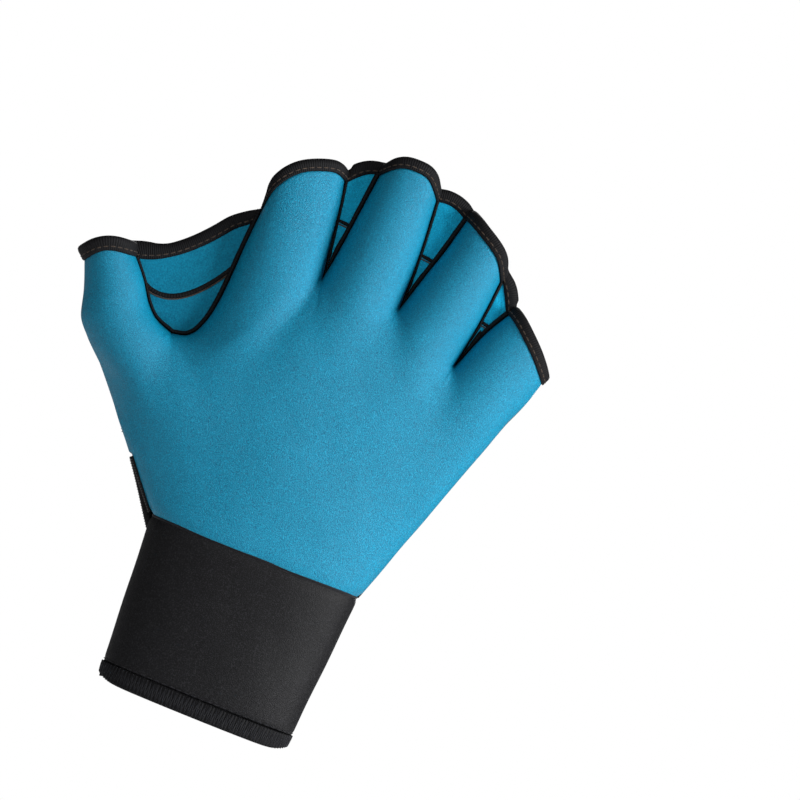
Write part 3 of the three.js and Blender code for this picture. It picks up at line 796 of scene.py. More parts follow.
def joined(parts):
    """Several sets of points, faces and UVs as one."""
    points, faces, uvs, start = [], [], [], 0
    for part_points, part_faces, part_uv in parts:
        points.append(part_points)
        uvs.append(part_uv)
        faces += [[n + start for n in face] for face in part_faces]
        start += len(part_points)
    return np.vstack(points), faces, np.vstack(uvs)


def outward_faces(points, faces):
    """The same faces, turned so that a closed mesh faces out."""
    fans = [(face[0], face[i], face[i + 1]) for face in faces for i in range(1, len(face) - 1)]
    volume = sum(float(points[a] @ np.cross(points[b], points[c])) for a, b, c in fans)
    return faces if volume > 0 else [face[::-1] for face in faces]


def swept_piece(name, sections, material, closed=False, **words):
    points, faces, uv = sweep(sections, closed)
    return place_piece(name, points, outward_faces(points, faces), [material], uv, **words)


print("a grid of 3 by 3 points has", len(grid_faces(np.arange(9).reshape(3, 3))), "faces")

# %% [markdown]
# ### Threads and stitches
# Sewing makes the glove look real: rows of stitches beside each tape and overlocked seams. A stitch is a short
# thread, thin at both ends where it dives into the cloth. A bump in the material could hint at it, but real
# geometry catches the light from every side.

# %% Threads and stitches
THREAD_STEP = 0.25
STITCH_POINTS = 5


def along_line(points, spacing, closed=False, *others):
    """A line and what goes with it, read again at even steps about spacing apart."""
    line = np.vstack([points, points[:1]]) if closed else points
    length = np.concatenate([[0], np.cumsum(np.linalg.norm(np.diff(line, axis=0), axis=-1))])
    count = max(int(round(length[-1] / spacing)), 2)
    reach = np.linspace(0, length[-1], count + 1)
    reach = reach[:-1] if closed else reach

    def again(values):
        values = np.vstack([values, values[:1]]) if closed else values
        return np.stack([np.interp(reach, length, values[:, i]) for i in range(values.shape[1])], -1)

    return [again(points), *[unit(again(o)) for o in others]]


def tube(points, normals, radius, sides=6, flat=1.0):
    """A thread along a line: its section is flattened against the cloth by flat."""
    tangents = unit(np.gradient(points, axis=0))
    across = unit(np.cross(tangents, normals))
    up = np.cross(across, tangents)
    angles = full_turn(sides)
    ring = across[:, None] * np.cos(angles)[None, :, None] + flat * up[:, None] * np.sin(angles)[None, :, None]
    return sweep(points[:, None] + ring * np.asarray(radius, float).reshape(-1, 1, 1))


def stitches(points, normals, length, pause, width, closed=False):
    """A row of separate stitches along a line, each a small spindle lying on the cloth."""
    line, ups = along_line(points, THREAD_STEP, closed, normals)
    per_stitch, per_step = int(round(length / THREAD_STEP)), int(round((length + pause) / THREAD_STEP))
    swell = np.sqrt(np.clip(1 - np.linspace(-1, 1, STITCH_POINTS) ** 2, 0.08, 1)) * width / 2
    parts = []
    for first in range(0, len(line) - per_stitch, per_step):
        picked = np.linspace(first, first + per_stitch, STITCH_POINTS).round().astype(int)
        parts.append(tube(line[picked], ups[picked], swell, 6, 0.8))
    return joined(parts)


def thread_piece(name, parts, material, slot="edge_cloth"):
    points, faces, uv = joined(parts) if isinstance(parts, list) else parts
    return place_piece(name, points, faces, [material], uv, slot=slot)


print("a stitch is drawn with", STITCH_POINTS, "rings")

# %% [markdown]
# ## The back and the palm
# The blue back is one piece of foam cloth with four notches cut between its five lobes. The palm is a piece
# of the same outline in charcoal. Each is made as one grid that branches into the fingers, and Solidify then
# gives it its wall, with the outer knit, the lining and the black foam of the cut edge as three finishes.

# %% Rows and columns of the panels
COLUMNS = 18
EXTRA_ROWS = [0.006, SLIT_SHARE - 0.02, SLIT_SHARE]
BODY_ROWS = np.unique(np.concatenate([1 - (1 - np.linspace(0, 1, 58)) ** 1.3, EXTRA_ROWS]))
FINGER_ROWS = np.linspace(0, 1, 36)[1:]


def softness(points):
    """The slight unevenness of cloth over a hand, in millimetres."""
    x, y, z = points[..., 0], points[..., 1], points[..., 2]
    broad = np.sin(x / 8.3 + z / 13 + y / 9) * np.sin(z / 9.7 - x / 17)
    small = np.sin(x / 3.7 + 1.3 + y / 5) * np.sin(z / 4.9 + x / 11)
    return 0.16 * broad + 0.06 * small


def mesh_normals(points, faces):
    """Normals of the points of a quad mesh, averaged over the faces that meet there."""
    corners = np.array(faces)
    first, second, third, fourth = (points[corners[:, i]] for i in range(4))
    crossed = np.cross(third - first, fourth - second)
    normals = np.zeros_like(points)
    for i in range(4):
        np.add.at(normals, corners[:, i], crossed)
    return unit(normals)


def panel_turns(side, zone, k, rows):
    """The turns of one finger's columns on each row: even in the finger, even in width towards the wrist."""
    start = start_turn(side, zone, rows) if k == 0 else np.zeros(len(rows))
    end = end_turn(side, zone, rows) if k == 4 else np.full(len(rows), math.pi)
    share = np.linspace(0, 1, COLUMNS + 1)[None]
    if zone == "body":
        inner = smooth(share, 0.2, 0.9) if k == 0 else 1 - smooth(share, 0.1, 0.8) if k == 4 else 1
        share = mix(share, np.arccos(1 - 2 * share) / math.pi, inner * (1 - smooth(rows, 0.8, 1))[:, None])
    return mix(start[:, None], end[:, None], share)


print("rows of the hand and of a finger:", len(BODY_ROWS), len(FINGER_ROWS))

# %% [markdown]
# ### Evening out the stretched cloth
# The formulas meet in creases at the roots of the fingers, where a real cloth runs on softly. Smoothing the whole
# mesh would round off the notches and the edges too. So every point gets its own spread, a distance over which the
# cloth is averaged with a bell of weights: wide in the open hand and zero at the notches and edges.

# %% Evening
LEAST_SPREAD = 0.05
HAND_SPREAD = 8.5
ROOT_SPREAD = 5.0


def evened(points, spread, axes=(1, 0)):
    """Evens out a grid over the spread given for each point, first across and then along."""
    for axis in axes:
        lines = points if axis == 1 else points.swapaxes(0, 1)
        reach = spread if axis == 1 else spread.T
        step = np.linalg.norm(np.diff(lines[..., [0, 2]], axis=1), axis=-1)
        length = np.concatenate([np.zeros((len(lines), 1)), np.cumsum(step, 1)], 1)
        apart = (length[:, :, None] - length[:, None, :]) / np.maximum(reach, LEAST_SPREAD)[:, :, None]
        weight = np.exp(-0.5 * apart**2) * np.gradient(length, axis=1)[:, None, :]
        even = np.einsum("lij,ljc->lic", weight, lines) / weight.sum(-1)[..., None]
        lines = mix(lines, even, smooth(reach, 0.1, 1.2)[..., None])
        points = lines if axis == 1 else lines.swapaxes(0, 1)
    return points


def far_from(grid, line):
    """How far each point of a grid lies from the point that it meets on a row, on a column or at a corner."""
    return np.linalg.norm(grid - line, axis=-1)


def from_sides(grid):
    return far_from(grid, grid[:, :1]), far_from(grid, grid[:, -1:])


def valley_spread(body):
    """How far the hand evens out: most in the open hand, none at the notches and the outer edges."""
    below, foot = far_from(body, body[-1:]), far_from(body, body[:1])
    sides = smooth(np.minimum(*from_sides(body)), 5, 15) * smooth(foot, 2, 16)
    return np.minimum(HAND_SPREAD, below / 1.8) * sides


def root_spread(strip):
    """How far a finger's strip evens out along its length, near its root and away from its two sides."""
    root = strip[len(BODY_ROWS) - 1]
    from_notches = np.minimum(far_from(strip, root[0]), far_from(strip, root[-1]))
    near_root = 1 - smooth(far_from(strip, root), 5, 18)
    return np.minimum(ROOT_SPREAD, from_notches / 2.2) * near_root * smooth(np.minimum(*from_sides(strip)), 1, 6)


print("widest spread in millimetres:", HAND_SPREAD)

# %% [markdown]
# ### The swell of the knuckles
# The knuckles lift the cloth in the middle of the hand, and that bright, round place is what the eye sees first.
# It could be sculpted by hand, but a product of soft steps does it: the swell is nothing at the notches, at the
# cuff and at the sides, and full between them.

# %% Swell
KNUCKLE_SWELL = 2.4
SWELL_BELOW_NOTCHES = 32
SWELL_ABOVE_CUFF = 30


def swelled(body, side):
    """Rounds the middle of the hand, between its outer edges, the cuff and the notches."""
    below, foot = far_from(body, body[-1:]), far_from(body, body[:1])
    left, right = from_sides(body)
    middle = np.clip(np.sin(math.pi * left / (left + right)), 0, 1) ** 1.5
    rise = KNUCKLE_SWELL * middle * smooth(below, 0, SWELL_BELOW_NOTCHES) * smooth(foot, 0, SWELL_ABOVE_CUFF)
    return body + np.array([0, OUTWARD[side], 0]) * rise[..., None]


print("swell in millimetres:", KNUCKLE_SWELL)

# %% [markdown]
# ### One branching grid for each side
# A glove's side is cut in one piece, so it is one mesh too: a wide grid for the hand, and five narrow ones that
# start from the points of its last row. Only the outer face is drawn. Solidify adds the wall of foam, and its
# material offsets give the inside and the cut edges their own finishes.

# %% The back and the palm
SEAM_DIP = 0.7
SEAM_DIP_WIDTH = 1.6


def panel_grid(side):
    """All points of one side of the glove, with its faces and its UVs."""
    blocks = [surface(side, "body", k, panel_turns(side, "body", k, BODY_ROWS), BODY_ROWS[:, None]) for k in range(5)]
    body = np.concatenate([blocks[0], *(block[:, 1:] for block in blocks[1:])], 1)
    body = evened(swelled(body, side), valley_spread(body))
    fingers = []
    for k in range(5):
        turns = panel_turns(side, "finger", k, FINGER_ROWS)
        fingers.append(surface(side, "finger", k, turns, FINGER_ROWS[:, None]))
        columns = slice(k * COLUMNS, (k + 1) * COLUMNS + 1)
        strip = np.concatenate([body[:, columns], fingers[k]])
        strip = evened(strip, root_spread(strip), axes=(0,))
        body[:, columns], fingers[k] = strip[: len(body)], strip[len(body) :]
    numbers = grid_numbers(body)
    points, uvs, faces = [body.reshape(-1, 3)], [grid_uv(body).reshape(-1, 2)], grid_faces(numbers, side == "palm")
    start = numbers.size
    for k, block in enumerate(fingers):
        own = grid_numbers(block) + start
        root = numbers[-1, k * COLUMNS : (k + 1) * COLUMNS + 1]
        faces += grid_faces(np.vstack([root, own]), side == "palm")
        points.append(block.reshape(-1, 3))
        uvs.append(block[..., [0, 2]].reshape(-1, 2))
        start += own.size
    return np.vstack(points), faces, np.vstack(uvs)


def walled(obj, thickness, offset=-1, inner=1, rim=2):
    """Gives a sheet its wall, with the second finish inside and the third on the cut edge."""
    wall = obj.modifiers.new("wall", "SOLIDIFY")
    wall.thickness = thickness / 1000
    wall.offset = offset
    wall.material_offset = inner
    wall.material_offset_rim = rim
    wall.use_quality_normals = True
    return obj


def panel(side, outer):
    """One side of the glove, drawn in a little where the back is sewn to the cuff."""
    points, faces, uv = panel_grid(side)
    above_seam = (points[:, 2] - CUFF_HEIGHT) / SEAM_DIP_WIDTH
    seam_dip = SEAM_DIP * np.exp(-(above_seam**2)) if side == "back" else 0
    points = points + mesh_normals(points, faces) * (softness(points) - seam_dip)[:, None]
    finishes = [outer, lining_knit, foam_core]
    name = f"{side}_cloth"
    return walled(place_piece(name, points, faces, finishes, uv, slot=name, replaces=[f"{side}_panel"]), WALL)


back_cloth = panel("back", blue_knit)
palm_cloth = panel("palm", palm_knit)
print("points of the back:", len(back_cloth.data.vertices))

# %% [markdown]
# ## The webs
# Between two fingers lies a flat web in two parts with a seam across, bound along its top. Its sides are
# tucked between the edges of the back and the palm. First come the lines in the flat drawing that bound it:
# lines beside a finger's edge, sagging arcs, and lines moved sideways.

# %% Lines of the webs
WEB_TUCK = 0.9
EVEN_24 = np.linspace(0, 1, 24)


def beside_edge(edge, on_left, share, distance):
    """A point beside the edge of a finger: positive lies in the finger, negative in the web."""
    share = np.asarray(share, float)
    tangent = unit(edge(np.minimum(share + 0.004, 1)) - edge(np.maximum(share - 0.004, 0)))
    left_of = np.stack([-tangent[..., 1], tangent[..., 0]], -1) * (1 if on_left else -1)
    return edge(share) + left_of * np.asarray(distance)[..., None]


def sagging(start, end, sag):
    """An even arc between two points, whose middle hangs by a share of the hand's length."""
    share = np.linspace(0, 1, 7)[:, None]
    return curve_through(mix(start, end, share) - np.array([0, sag * HAND_LENGTH]) * 4 * share * (1 - share))


def shifted(curve, distance):
    """The curve moved to its left by a distance."""

    def at(share):
        share = np.asarray(share, float)
        tangent = unit(curve(np.minimum(share + 0.01, 1)) - curve(np.maximum(share - 0.01, 0)))
        return curve(share) + np.stack([-tangent[..., 1], tangent[..., 0]], -1) * distance

    return at


def line_through(points):
    """The straight runs between points, by share of length."""
    points = np.array(points, float)
    length = np.concatenate([[0], np.cumsum(np.linalg.norm(np.diff(points, axis=0), axis=1))])

    def at(share):
        reach = np.asarray(share) * length[-1]
        return np.stack([np.interp(reach, length, points[:, i]) for i in range(2)], -1)

    return at


def web_shape(k):
    """The curves of one web: its sides, its seam and its top."""
    row, left, right = WEBS[k], RIGHT[k], LEFT[k + 1]
    mouth_gap = np.array([BINDING_LAP + GAP, 0])
    top = sagging(left(1) + mouth_gap, right(1) - mouth_gap, row["top_sag"])
    seam_left = beside_edge(left, True, row["left_share"], WEB_TUCK)
    seam_right = beside_edge(right, False, row["right_share"], WEB_TUCK)
    return row, left, right, top, sagging(seam_left, seam_right, row["seam_sag"])


print("width of the webs' tops in millimetres:", [round(web_shape(k)[3].length) for k in range(4)])

# %% [markdown]
# ### The two parts of a web
# A grid between four curves lets each part swell a little towards the back, as wet cloth does. Its wall is
# thinner than the panels' and centred on the grid, and each face gets its own side's knit. The two parts end
# beside the seam, and their sides reach under the edges of the fingers.

# %% Webs
WEB_STEPS = np.linspace(0, 1, 22)
WEB_SWELL = {"foot": 0, "seam": 0.9, "top": 0.3}
WEB_START = 0.08
RIPPLE = 0.12


def belly(u, strength):
    """How far a web swells towards the back across its width, in millimetres."""
    return -strength * np.sin(np.pi * np.clip(u, 0, 1))


def web_part(node, outer, flat, low, high):
    u, v = np.meshgrid(WEB_STEPS, WEB_STEPS)
    place = flat(u, v)
    ripple = RIPPLE * np.sin(v * 17 + u * 5) * np.sin(np.pi * u)
    depth = belly(u, mix(WEB_SWELL[low], WEB_SWELL[high], v)) + ripple
    points = np.stack([place[..., 0], depth, place[..., 1]], -1)
    finishes, faces = [outer, palm_knit, foam_core], grid_faces(grid_numbers(points))
    uv = grid_uv(points).reshape(-1, 2)
    obj = place_piece(f"{node}_cloth", points.reshape(-1, 3), faces, finishes, uv, slot="web_cloth", replaces=[node])
    return walled(obj, WEB_WALL, offset=0)


def build_web(k):
    """The lower and the upper part of one web."""
    row, left, right, top, seam = web_shape(k)
    # The narrow webs take the copy with painted light, lighter to make up for the shade of the fingers around them.
    outer = web_knit if row["name"] == "thumb" else narrow_web_painted_light_knit
    half_seam = SEAM_BAR_WIDTH / 4
    left_step, right_step = half_seam / left.length, half_seam / right.length

    def side(edge, on_left, low, high):
        return line_through(beside_edge(edge, on_left, mix(low, high, np.linspace(0, 1, 30)), WALL * 0.6))

    def joining(start, middle, end):
        return line_through([start, *middle(EVEN_24), end])

    lower_left = side(left, True, WEB_START, row["left_share"] - left_step)
    lower_right = side(right, False, WEB_START, row["right_share"] - right_step)
    root = hand_point(ROOTS[k + 1]) - np.array([0, GAP])
    foot = line_through([lower_left(0), root, lower_right(0)])
    under_seam = joining(lower_left(1), shifted(seam, -half_seam), lower_right(1))
    lower = patch(foot, under_seam, lower_left, lower_right)
    upper_left = side(left, True, row["left_share"] + left_step, 1)
    upper_right = side(right, False, row["right_share"] + right_step, 1)
    over_seam = joining(upper_left(0), shifted(seam, half_seam), upper_right(0))
    upper = patch(over_seam, joining(upper_left(1), top, upper_right(1)), upper_left, upper_right)
    return (
        web_part(f"web_lower_{row['name']}", outer, lower, "foot", "seam"),
        web_part(f"web_upper_{row['name']}", outer, upper, "seam", "top"),
    )


web_pieces = [build_web(k) for k in range(4)]
print("webs:", [o.name for pair in web_pieces for o in pair])

# %% [markdown]
# ### The seam across a web
# The parts meet in a dark rolled seam that shows as a thin bar, with a brownish thread below it. It is a rounded
# bar swept along the seam's line; its ends lie under the edges of the fingers. The thumb's seam is longer and
# hangs in an arc, and its bar is a little wider.

# %% Seams of the webs
BAR_ROUNDNESS = 0.7
DARK_FACE_SINK = 0.15
TOWARDS_BACK = [0.0, -1.0, 0.0]


def flat_sweep(curve, swell, half_width, half_height, sides=10, count=40):
    """A rounded bar along a flat curve, which follows the swell of the web."""
    share = np.linspace(0, 1, count)
    flat = curve(share)
    middle = np.stack([flat[:, 0], belly(share, swell), flat[:, 1]], -1)
    along = unit(np.gradient(middle, axis=0))
    depth = np.tile(TOWARDS_BACK, (count, 1))
    across = unit(np.cross(along, depth))
    angles = full_turn(sides)
    wide, deep = (np.sign(a) * np.abs(a) ** BAR_ROUNDNESS for a in (np.cos(angles), np.sin(angles)))
    sideways = across[:, None] * wide[None, :, None] * half_width
    return middle[:, None] + sideways + depth[:, None] * deep[None, :, None] * half_height


def build_seam(k):
    """The bar across one web, and the thread that runs below it."""
    row, left, right, top, seam = web_shape(k)
    name, at_thumb = f"web_seam_{row['name']}", row["name"] == "thumb"
    half_width = SEAM_BAR_WIDTH / 2 + (0.2 if at_thumb else -0.1)
    bar_sections = flat_sweep(seam, WEB_SWELL["seam"], half_width, SEAM_BAR_HEIGHT / 2)
    bar = swept_piece(f"{name}_roll", bar_sections, seam_tape, slot="edge_cloth", replaces=[name])
    share = np.linspace(0.08, 0.92, 60) if at_thumb else np.linspace(0.2, 0.8, 20)
    flat = shifted(seam, -SEAM_BAR_WIDTH / 2 - 0.25)(share)
    depth = belly(share, WEB_SWELL["seam"]) - WEB_WALL / 2 - DARK_FACE_SINK
    line = np.stack([flat[:, 0], depth, flat[:, 1]], -1)
    sewn = tube(line, np.tile(TOWARDS_BACK, (len(line), 1)), 0.28)
    return bar, thread_piece(f"{name}_thread", sewn, brown_thread)


seam_pieces = [build_seam(k) for k in range(4)]
print("web seams:", [bar.name for bar, thread in seam_pieces])

# %% [markdown]
# ### The dark edging of the notches
# Each notch of the back is edged with a dark line, a rolled seam that runs down one finger and up the next. It is
# swept along the finger's edge as a low dome. Near the foot of the notch both sides come closer than the dome is
# wide, so there they share the line halfway between them.

# %% Edging of the notches
EDGING_STEPS = 60
EDGING_LIFT = 0.1
EDGING_HEIGHT = 1.7
EDGE_OVERLAP = 0.15


def end_share(edge, on_left, top):
    """How far up a finger's side the edging may go before it meets the web's top."""
    shares = np.linspace(1, 0.5, 100)
    points = beside_edge(edge, on_left, shares, np.full(100, -1.0))
    line = top(np.linspace(0, 1, 80))
    clear = np.array([line[np.argmin(np.abs(line[:, 0] - p[0])), 1] - p[1] > EDGING_LIFT for p in points])
    return shares[np.argmax(clear)]


def build_edging(k):
    """The dark roll along both sides of one notch, from one web top to the other."""
    row, left, right, top, seam = web_shape(k)
    shares = np.linspace(0, 1, EDGING_STEPS)
    rising = smooth(shares, 0.0, 0.35)
    inner_rows, outer_rows = [], []
    for edge, on_left, width_above in ((left, True, 1.1), (right, False, 1.9)):
        up = shares * end_share(edge, on_left, top)
        inner_rows.append(beside_edge(edge, on_left, up, -0.1 - mix(1.5, width_above, rising)))
        outer_rows.append(beside_edge(edge, on_left, up, np.full(EDGING_STEPS, EDGE_OVERLAP)))
    crossed = (inner_rows[0][:, 0] > inner_rows[1][:, 0])[:, None]
    meeting = (inner_rows[0] + inner_rows[1]) / 2
    inner_rows = [np.where(crossed, meeting, line) for line in inner_rows]
    outer, inner = (np.vstack([rows[0][::-1], rows[1][1:]]) for rows in (outer_rows, inner_rows))
    width = np.linalg.norm(outer - inner, axis=1)
    dome = np.sin(np.linspace(0, math.pi, 8)) ** 0.6
    flat = mix(outer[:, None], inner[:, None], np.linspace(0, 1, 8)[None, :, None])
    height = WEB_WALL / 2 + EDGING_LIFT + dome[None] * np.minimum(EDGING_HEIGHT, 0.9 + 0.4 * width)[:, None]
    crown = np.stack([flat[..., 0], -height, flat[..., 1]], -1)
    foot = np.stack([flat[..., 0], np.full_like(height, -WEB_WALL / 2 + 0.3), flat[..., 1]], -1)[:, [-1, 0]]
    name, sections = f"notch_edging_{row['name']}", np.concatenate([crown, foot], 1)
    return swept_piece(f"{name}_roll", sections, seam_tape, slot="edge_cloth", replaces=[name])


edging_pieces = [build_edging(k) for k in range(4)]
print("edgings:", [o.name for o in edging_pieces])

# %% [markdown]
# ## The bound edges
# Every finger's mouth and the top of every web is finished with a woven tape folded over the cut edge and
# sewn through. It is a rounded section swept round the edge: it laps a little over the cloth, swells over the
# foam and turns in at the top. A row of brownish stitches holds its lower border.

# %% A folded section along an edge
SMOOTHED_STEPS = range(-4, 5)
# The folded section, as (out of the cloth, away from its edge)
FOLD = np.array(
    [
        (0.1, -0.7), (0.55, -0.75), (0.85, -0.2), (0.75, 0.7), (0.9, 1.5), (1.05, 2.6), (0.85, 3.7), (0.2, 4.5),
        (-0.7, 4.85), (-1.7, 4.85), (-2.7, 4.5), (-3.35, 3.7), (-3.5, 2.4), (-3.3, 1.0), (-3.35, 0.2), (-2.9, 0.1),
        (-1.2, 0.15), (0.0, 0.1),
    ]
)


def settled(points, normals, aways, closed=True):
    """Turns each way off the edge square to the line and to the cloth."""

    def smoothed(ways):
        return unit(sum(np.roll(ways, i, 0) for i in SMOOTHED_STEPS)) if closed else ways

    tangents = np.roll(points, -2, 0) - np.roll(points, 2, 0) if closed else np.gradient(points, axis=0)
    normals, tangents = smoothed(normals), smoothed(unit(tangents))
    off = unit(np.cross(tangents, normals))
    off = off * np.sign((off * aways).sum(-1, keepdims=True))
    return points, normals, smoothed(off)


def folded(points, normals, aways, profile, lean=0.0):
    """The section set up at each point of a line; lean tips its far side out of the cloth."""
    out = profile[:, 0][None, :, None] * normals[:, None]
    return points[:, None] + out + profile[:, 1][None, :, None] * (aways + lean * normals)[:, None]


print("points of the folded section:", len(FOLD))

# %% [markdown]
# ### Round the mouths
# The line round a mouth runs up the back from one side of the finger to the other and returns over the palm.
# The thumb's tape flares out, as its mouth is stretched open, and the ring finger's does so a little. The line is
# closed, so the sweep is closed too and has no caps.

# %% Mouth tapes
LEANS = {"thumb": 0.42, "index": 0.03, "middle": 0.03, "ring": 0.12, "little": 0.03}
TAPE_HEIGHTS = {"thumb": 1.0, "index": 0.87, "middle": 0.87, "ring": 0.87, "little": 0.87}
TAPE_STEP = 0.55
TAPE_STITCHES = {"length": 2.0, "pause": 0.75, "width": 0.5}


def mouth_line(k):
    """The line round the mouth of a finger, with the way out of the cloth and the way off its edge."""
    turns = np.linspace(0, math.pi, 60)
    points, normals, aways = [], [], []
    for side, run in (("back", turns), ("palm", turns[::-1])):
        top = np.ones_like(run)
        points.append(surface(side, "finger", k, run, top))
        normals.append(surface_normal(side, "finger", k, run, top))
        aways.append(slopes(side, "finger", k, run, top)[1])
    points, normals, aways = np.vstack(points), np.vstack(normals), np.vstack(aways)
    apart = np.linalg.norm(points - np.roll(points, 1, 0), axis=1) > 0.05
    return along_line(points[apart], TAPE_STEP, True, normals[apart], aways[apart])


def build_mouth(k):
    """The tape round one mouth, and the stitches along its lower border."""
    finger, lean = NAMES[k], LEANS[NAMES[k]]
    points, normals, aways = settled(*mouth_line(k))
    sections = folded(points, normals, aways, FOLD * [1, TAPE_HEIGHTS[finger]], lean)
    name = f"mouth_binding_{finger}"
    tape = swept_piece(f"{name}_tape", sections, edge_tape, closed=True, slot="edge_cloth", replaces=[name])
    row = points + normals * 0.86 + (aways + lean * normals) * 0.75
    sewn = stitches(row, normals, **TAPE_STITCHES, closed=True)
    return tape, thread_piece(f"mouth_stitches_{finger}", sewn, brown_thread)


mouth_pieces = [build_mouth(k) for k in range(5)]
print("mouth tapes:", [tape.name for tape, sewn in mouth_pieces])

# %% [markdown]
# ### Along the webs
# A web's tape folds over the top of the web, so its section is the same on both faces. At its ends it turns to
# meet the fingers' tapes. The thumb's web tape starts wide beside the thumb and drops at the index finger, where it
# goes under that finger's edge.

# %% Web tapes
TAPE_DROP = {"thumb": 4.2}
TAPE_WIDENED = {"thumb": 0.4}
TAPE_REACH = 0.9
# One face of the section, as (out of the web's face, up from its edge)
WEB_FOLD = np.array([(0.1, -0.7), (0.6, -0.5), (0.75, 0.6), (0.95, 2.2), (0.6, 3.7), (-0.3, 4.6)])


def reaching(curve, distance):
    """A flat curve, run on straight past both ends."""
    first, last = unit(curve(0) - curve(0.02)), unit(curve(1) - curve(0.98))
    return curve_through([curve(0) + first * distance, *curve(EVEN_24), curve(1) + last * distance])


def build_web_tape(k):
    """The tape along the top of one web, and its stitches on both faces."""
    row, left, right, top, seam = web_shape(k)
    top = reaching(top, TAPE_REACH)
    share = np.linspace(0, 1, 60)
    flat = top(share) - np.array([0, 1]) * TAPE_DROP.get(row["name"], 0) * smooth(share, 0.72, 1)[:, None]
    points = np.stack([flat[:, 0], belly(share, WEB_SWELL["top"]), flat[:, 1]], -1)
    normals, aways = np.tile(TOWARDS_BACK, (60, 1)), np.tile([0.0, 0.0, 1.0], (60, 1))
    points, normals, aways = settled(*along_line(points, TAPE_STEP, False, normals, aways), closed=False)
    reach = np.linspace(0, 1, len(points)) * top.length
    for edge, distance in ((left, reach), (right, top.length - reach)):
        finger_way = unit(edge(1) - edge(0.95))
        near = (1 - smooth(distance, 0.5, 7))[:, None]
        aways = unit(mix(aways, np.array([finger_way[0], 0, finger_way[1]]), near))
    face = WEB_FOLD + [WEB_WALL / 2, 0]
    profile = np.vstack([face, (face * [-1, 1])[::-1]])
    widened = 1 + TAPE_WIDENED.get(row["name"], 0) * (1 - smooth(reach, 0, 16))
    sections, name = folded(points, normals, aways * widened[:, None], profile), f"web_binding_{row['name']}"
    tape = swept_piece(f"{name}_tape", sections, edge_tape, slot="edge_cloth", replaces=[name])
    above = WEB_WALL / 2 + 0.78
    rows = [stitches(points + s * normals * above + aways * 0.7, s * normals, **TAPE_STITCHES) for s in (1, -1)]
    return tape, thread_piece(f"web_stitches_{row['name']}", rows, brown_thread)


web_tapes = [build_web_tape(k) for k in range(4)]
print("web tapes:", [tape.name for tape, sewn in web_tapes])

# %% [markdown]
# ## The cuff
# The cuff is a black band round the wrist, open on the thumb's side under the strap. It is a grid again: its
# columns go round the back and then over the palm to where the strap lands, and its rows follow the sloping rim.

# %% Points round the cuff
LANDING_TURN = math.radians(20)


def cuff_point(side, turn, height):
    """A point of the cuff's outer face."""
    share = across_at(turn)
    rise = body_depth(np.zeros_like(turn)) * oval_rise(share) * np.sign(np.sin(turn))
    return np.stack([cuff_edge(height, share), OUTWARD[side] * rise, height + 0 * turn], -1)


def cuff_normal(side, turn, height):
    across = cuff_point(side, turn + 0.01, height) - cuff_point(side, turn - 0.01, height)
    along = cuff_point(side, turn, height + 1) - cuff_point(side, turn, height - 1)
    return unit(np.cross(across, along)) * -OUTWARD[side]


def round_cuff(rows, lifts):
    """Points and normals on rows round the cuff; each row gives its height from the side and the place across."""
    back = np.linspace(0, math.pi, 90)[:-1]
    palm = np.linspace(math.pi, LANDING_TURN, 80)
    points, normals = [], []
    for row, up in zip(rows, lifts):
        run_points, run_normals = [], []
        for side, turns in (("back", back), ("palm", palm)):
            height = row(side, across_at(turns)) + 0 * turns
            normal = cuff_normal(side, turns, height)
            run_points.append(cuff_point(side, turns, height) + normal * up)
            run_normals.append(normal)
        points.append(np.vstack(run_points))
        normals.append(np.vstack(run_normals))
    return np.array(points), np.array(normals)


print("the cuff at the back of the wrist:", cuff_point("back", math.pi / 2, 30).round(1))

# %% [markdown]
# ### The band
# The band's face dips at the rim, where it is sewn to the hand, and a little at the hem. The dips are narrow
# bells added to its rows, with rows set close together there.

# %% Cuff band
RIM_DIP, RIM_DIP_WIDTH = 0.7, 1.6
HEM_DIP, HEM_DIP_WIDTH = 0.3, 1.2
BAND_HEIGHT = CUFF_HEIGHT - HEM_HEIGHT


def cuff_row(share):
    """A row of the band, by its share of the way from the hem to the rim."""
    return lambda side, across: mix(HEM_HEIGHT + GAP, rim_height(side, across) - GAP, share)


def bell(distance, width):
    return np.exp(-((distance / width) ** 2))


cuff_shares = np.concatenate([np.linspace(0, 0.04, 4), np.linspace(0.08, 0.92, 30), np.linspace(0.96, 1, 5)])
below_rim, above_hem = (1 - cuff_shares) * BAND_HEIGHT, cuff_shares * BAND_HEIGHT
cuff_lift = -RIM_DIP * bell(below_rim, RIM_DIP_WIDTH) - HEM_DIP * bell(above_hem, HEM_DIP_WIDTH)
cuff_points, cuff_normals = round_cuff([cuff_row(share) for share in cuff_shares], cuff_lift)
cuff_points = cuff_points + cuff_normals * softness(cuff_points)[..., None]
cuff_cloth = place_piece(
    "cuff_band_cloth",
    cuff_points.reshape(-1, 3),
    grid_faces(grid_numbers(cuff_points)),
    [black_knit, lining_knit, foam_core],
    grid_uv(cuff_points).reshape(-1, 2),
    slot="cuff_cloth",
    replaces=["cuff_band"],
)
walled(cuff_cloth, WALL)
print("points of the cuff:", len(cuff_cloth.data.vertices))

# %% [markdown]
# ### The hem
# The cuff's lower edge is folded in and overlocked. The fold is a closed section, up the outside and down the
# inside, swept round the cuff. Its lower corners are rounded, so its low rows rise a little at the two sides.

# %% Hem
HEM_CORNER = 2.6
hem_heights = np.array([0.0, 0.25, 0.9, 2.2, 3.6, 5.0, 6.2, 6.8, 7.0])
hem_lift = HEM_LAP + np.array([-0.7, -0.2, 0.0, 0.05, 0.05, 0.05, 0.0, -0.1, -0.5])


def hem_row_height(height):
    return lambda side, across: height + HEM_CORNER * (1 - height / HEM_HEIGHT) * np.abs(2 * across - 1) ** 14


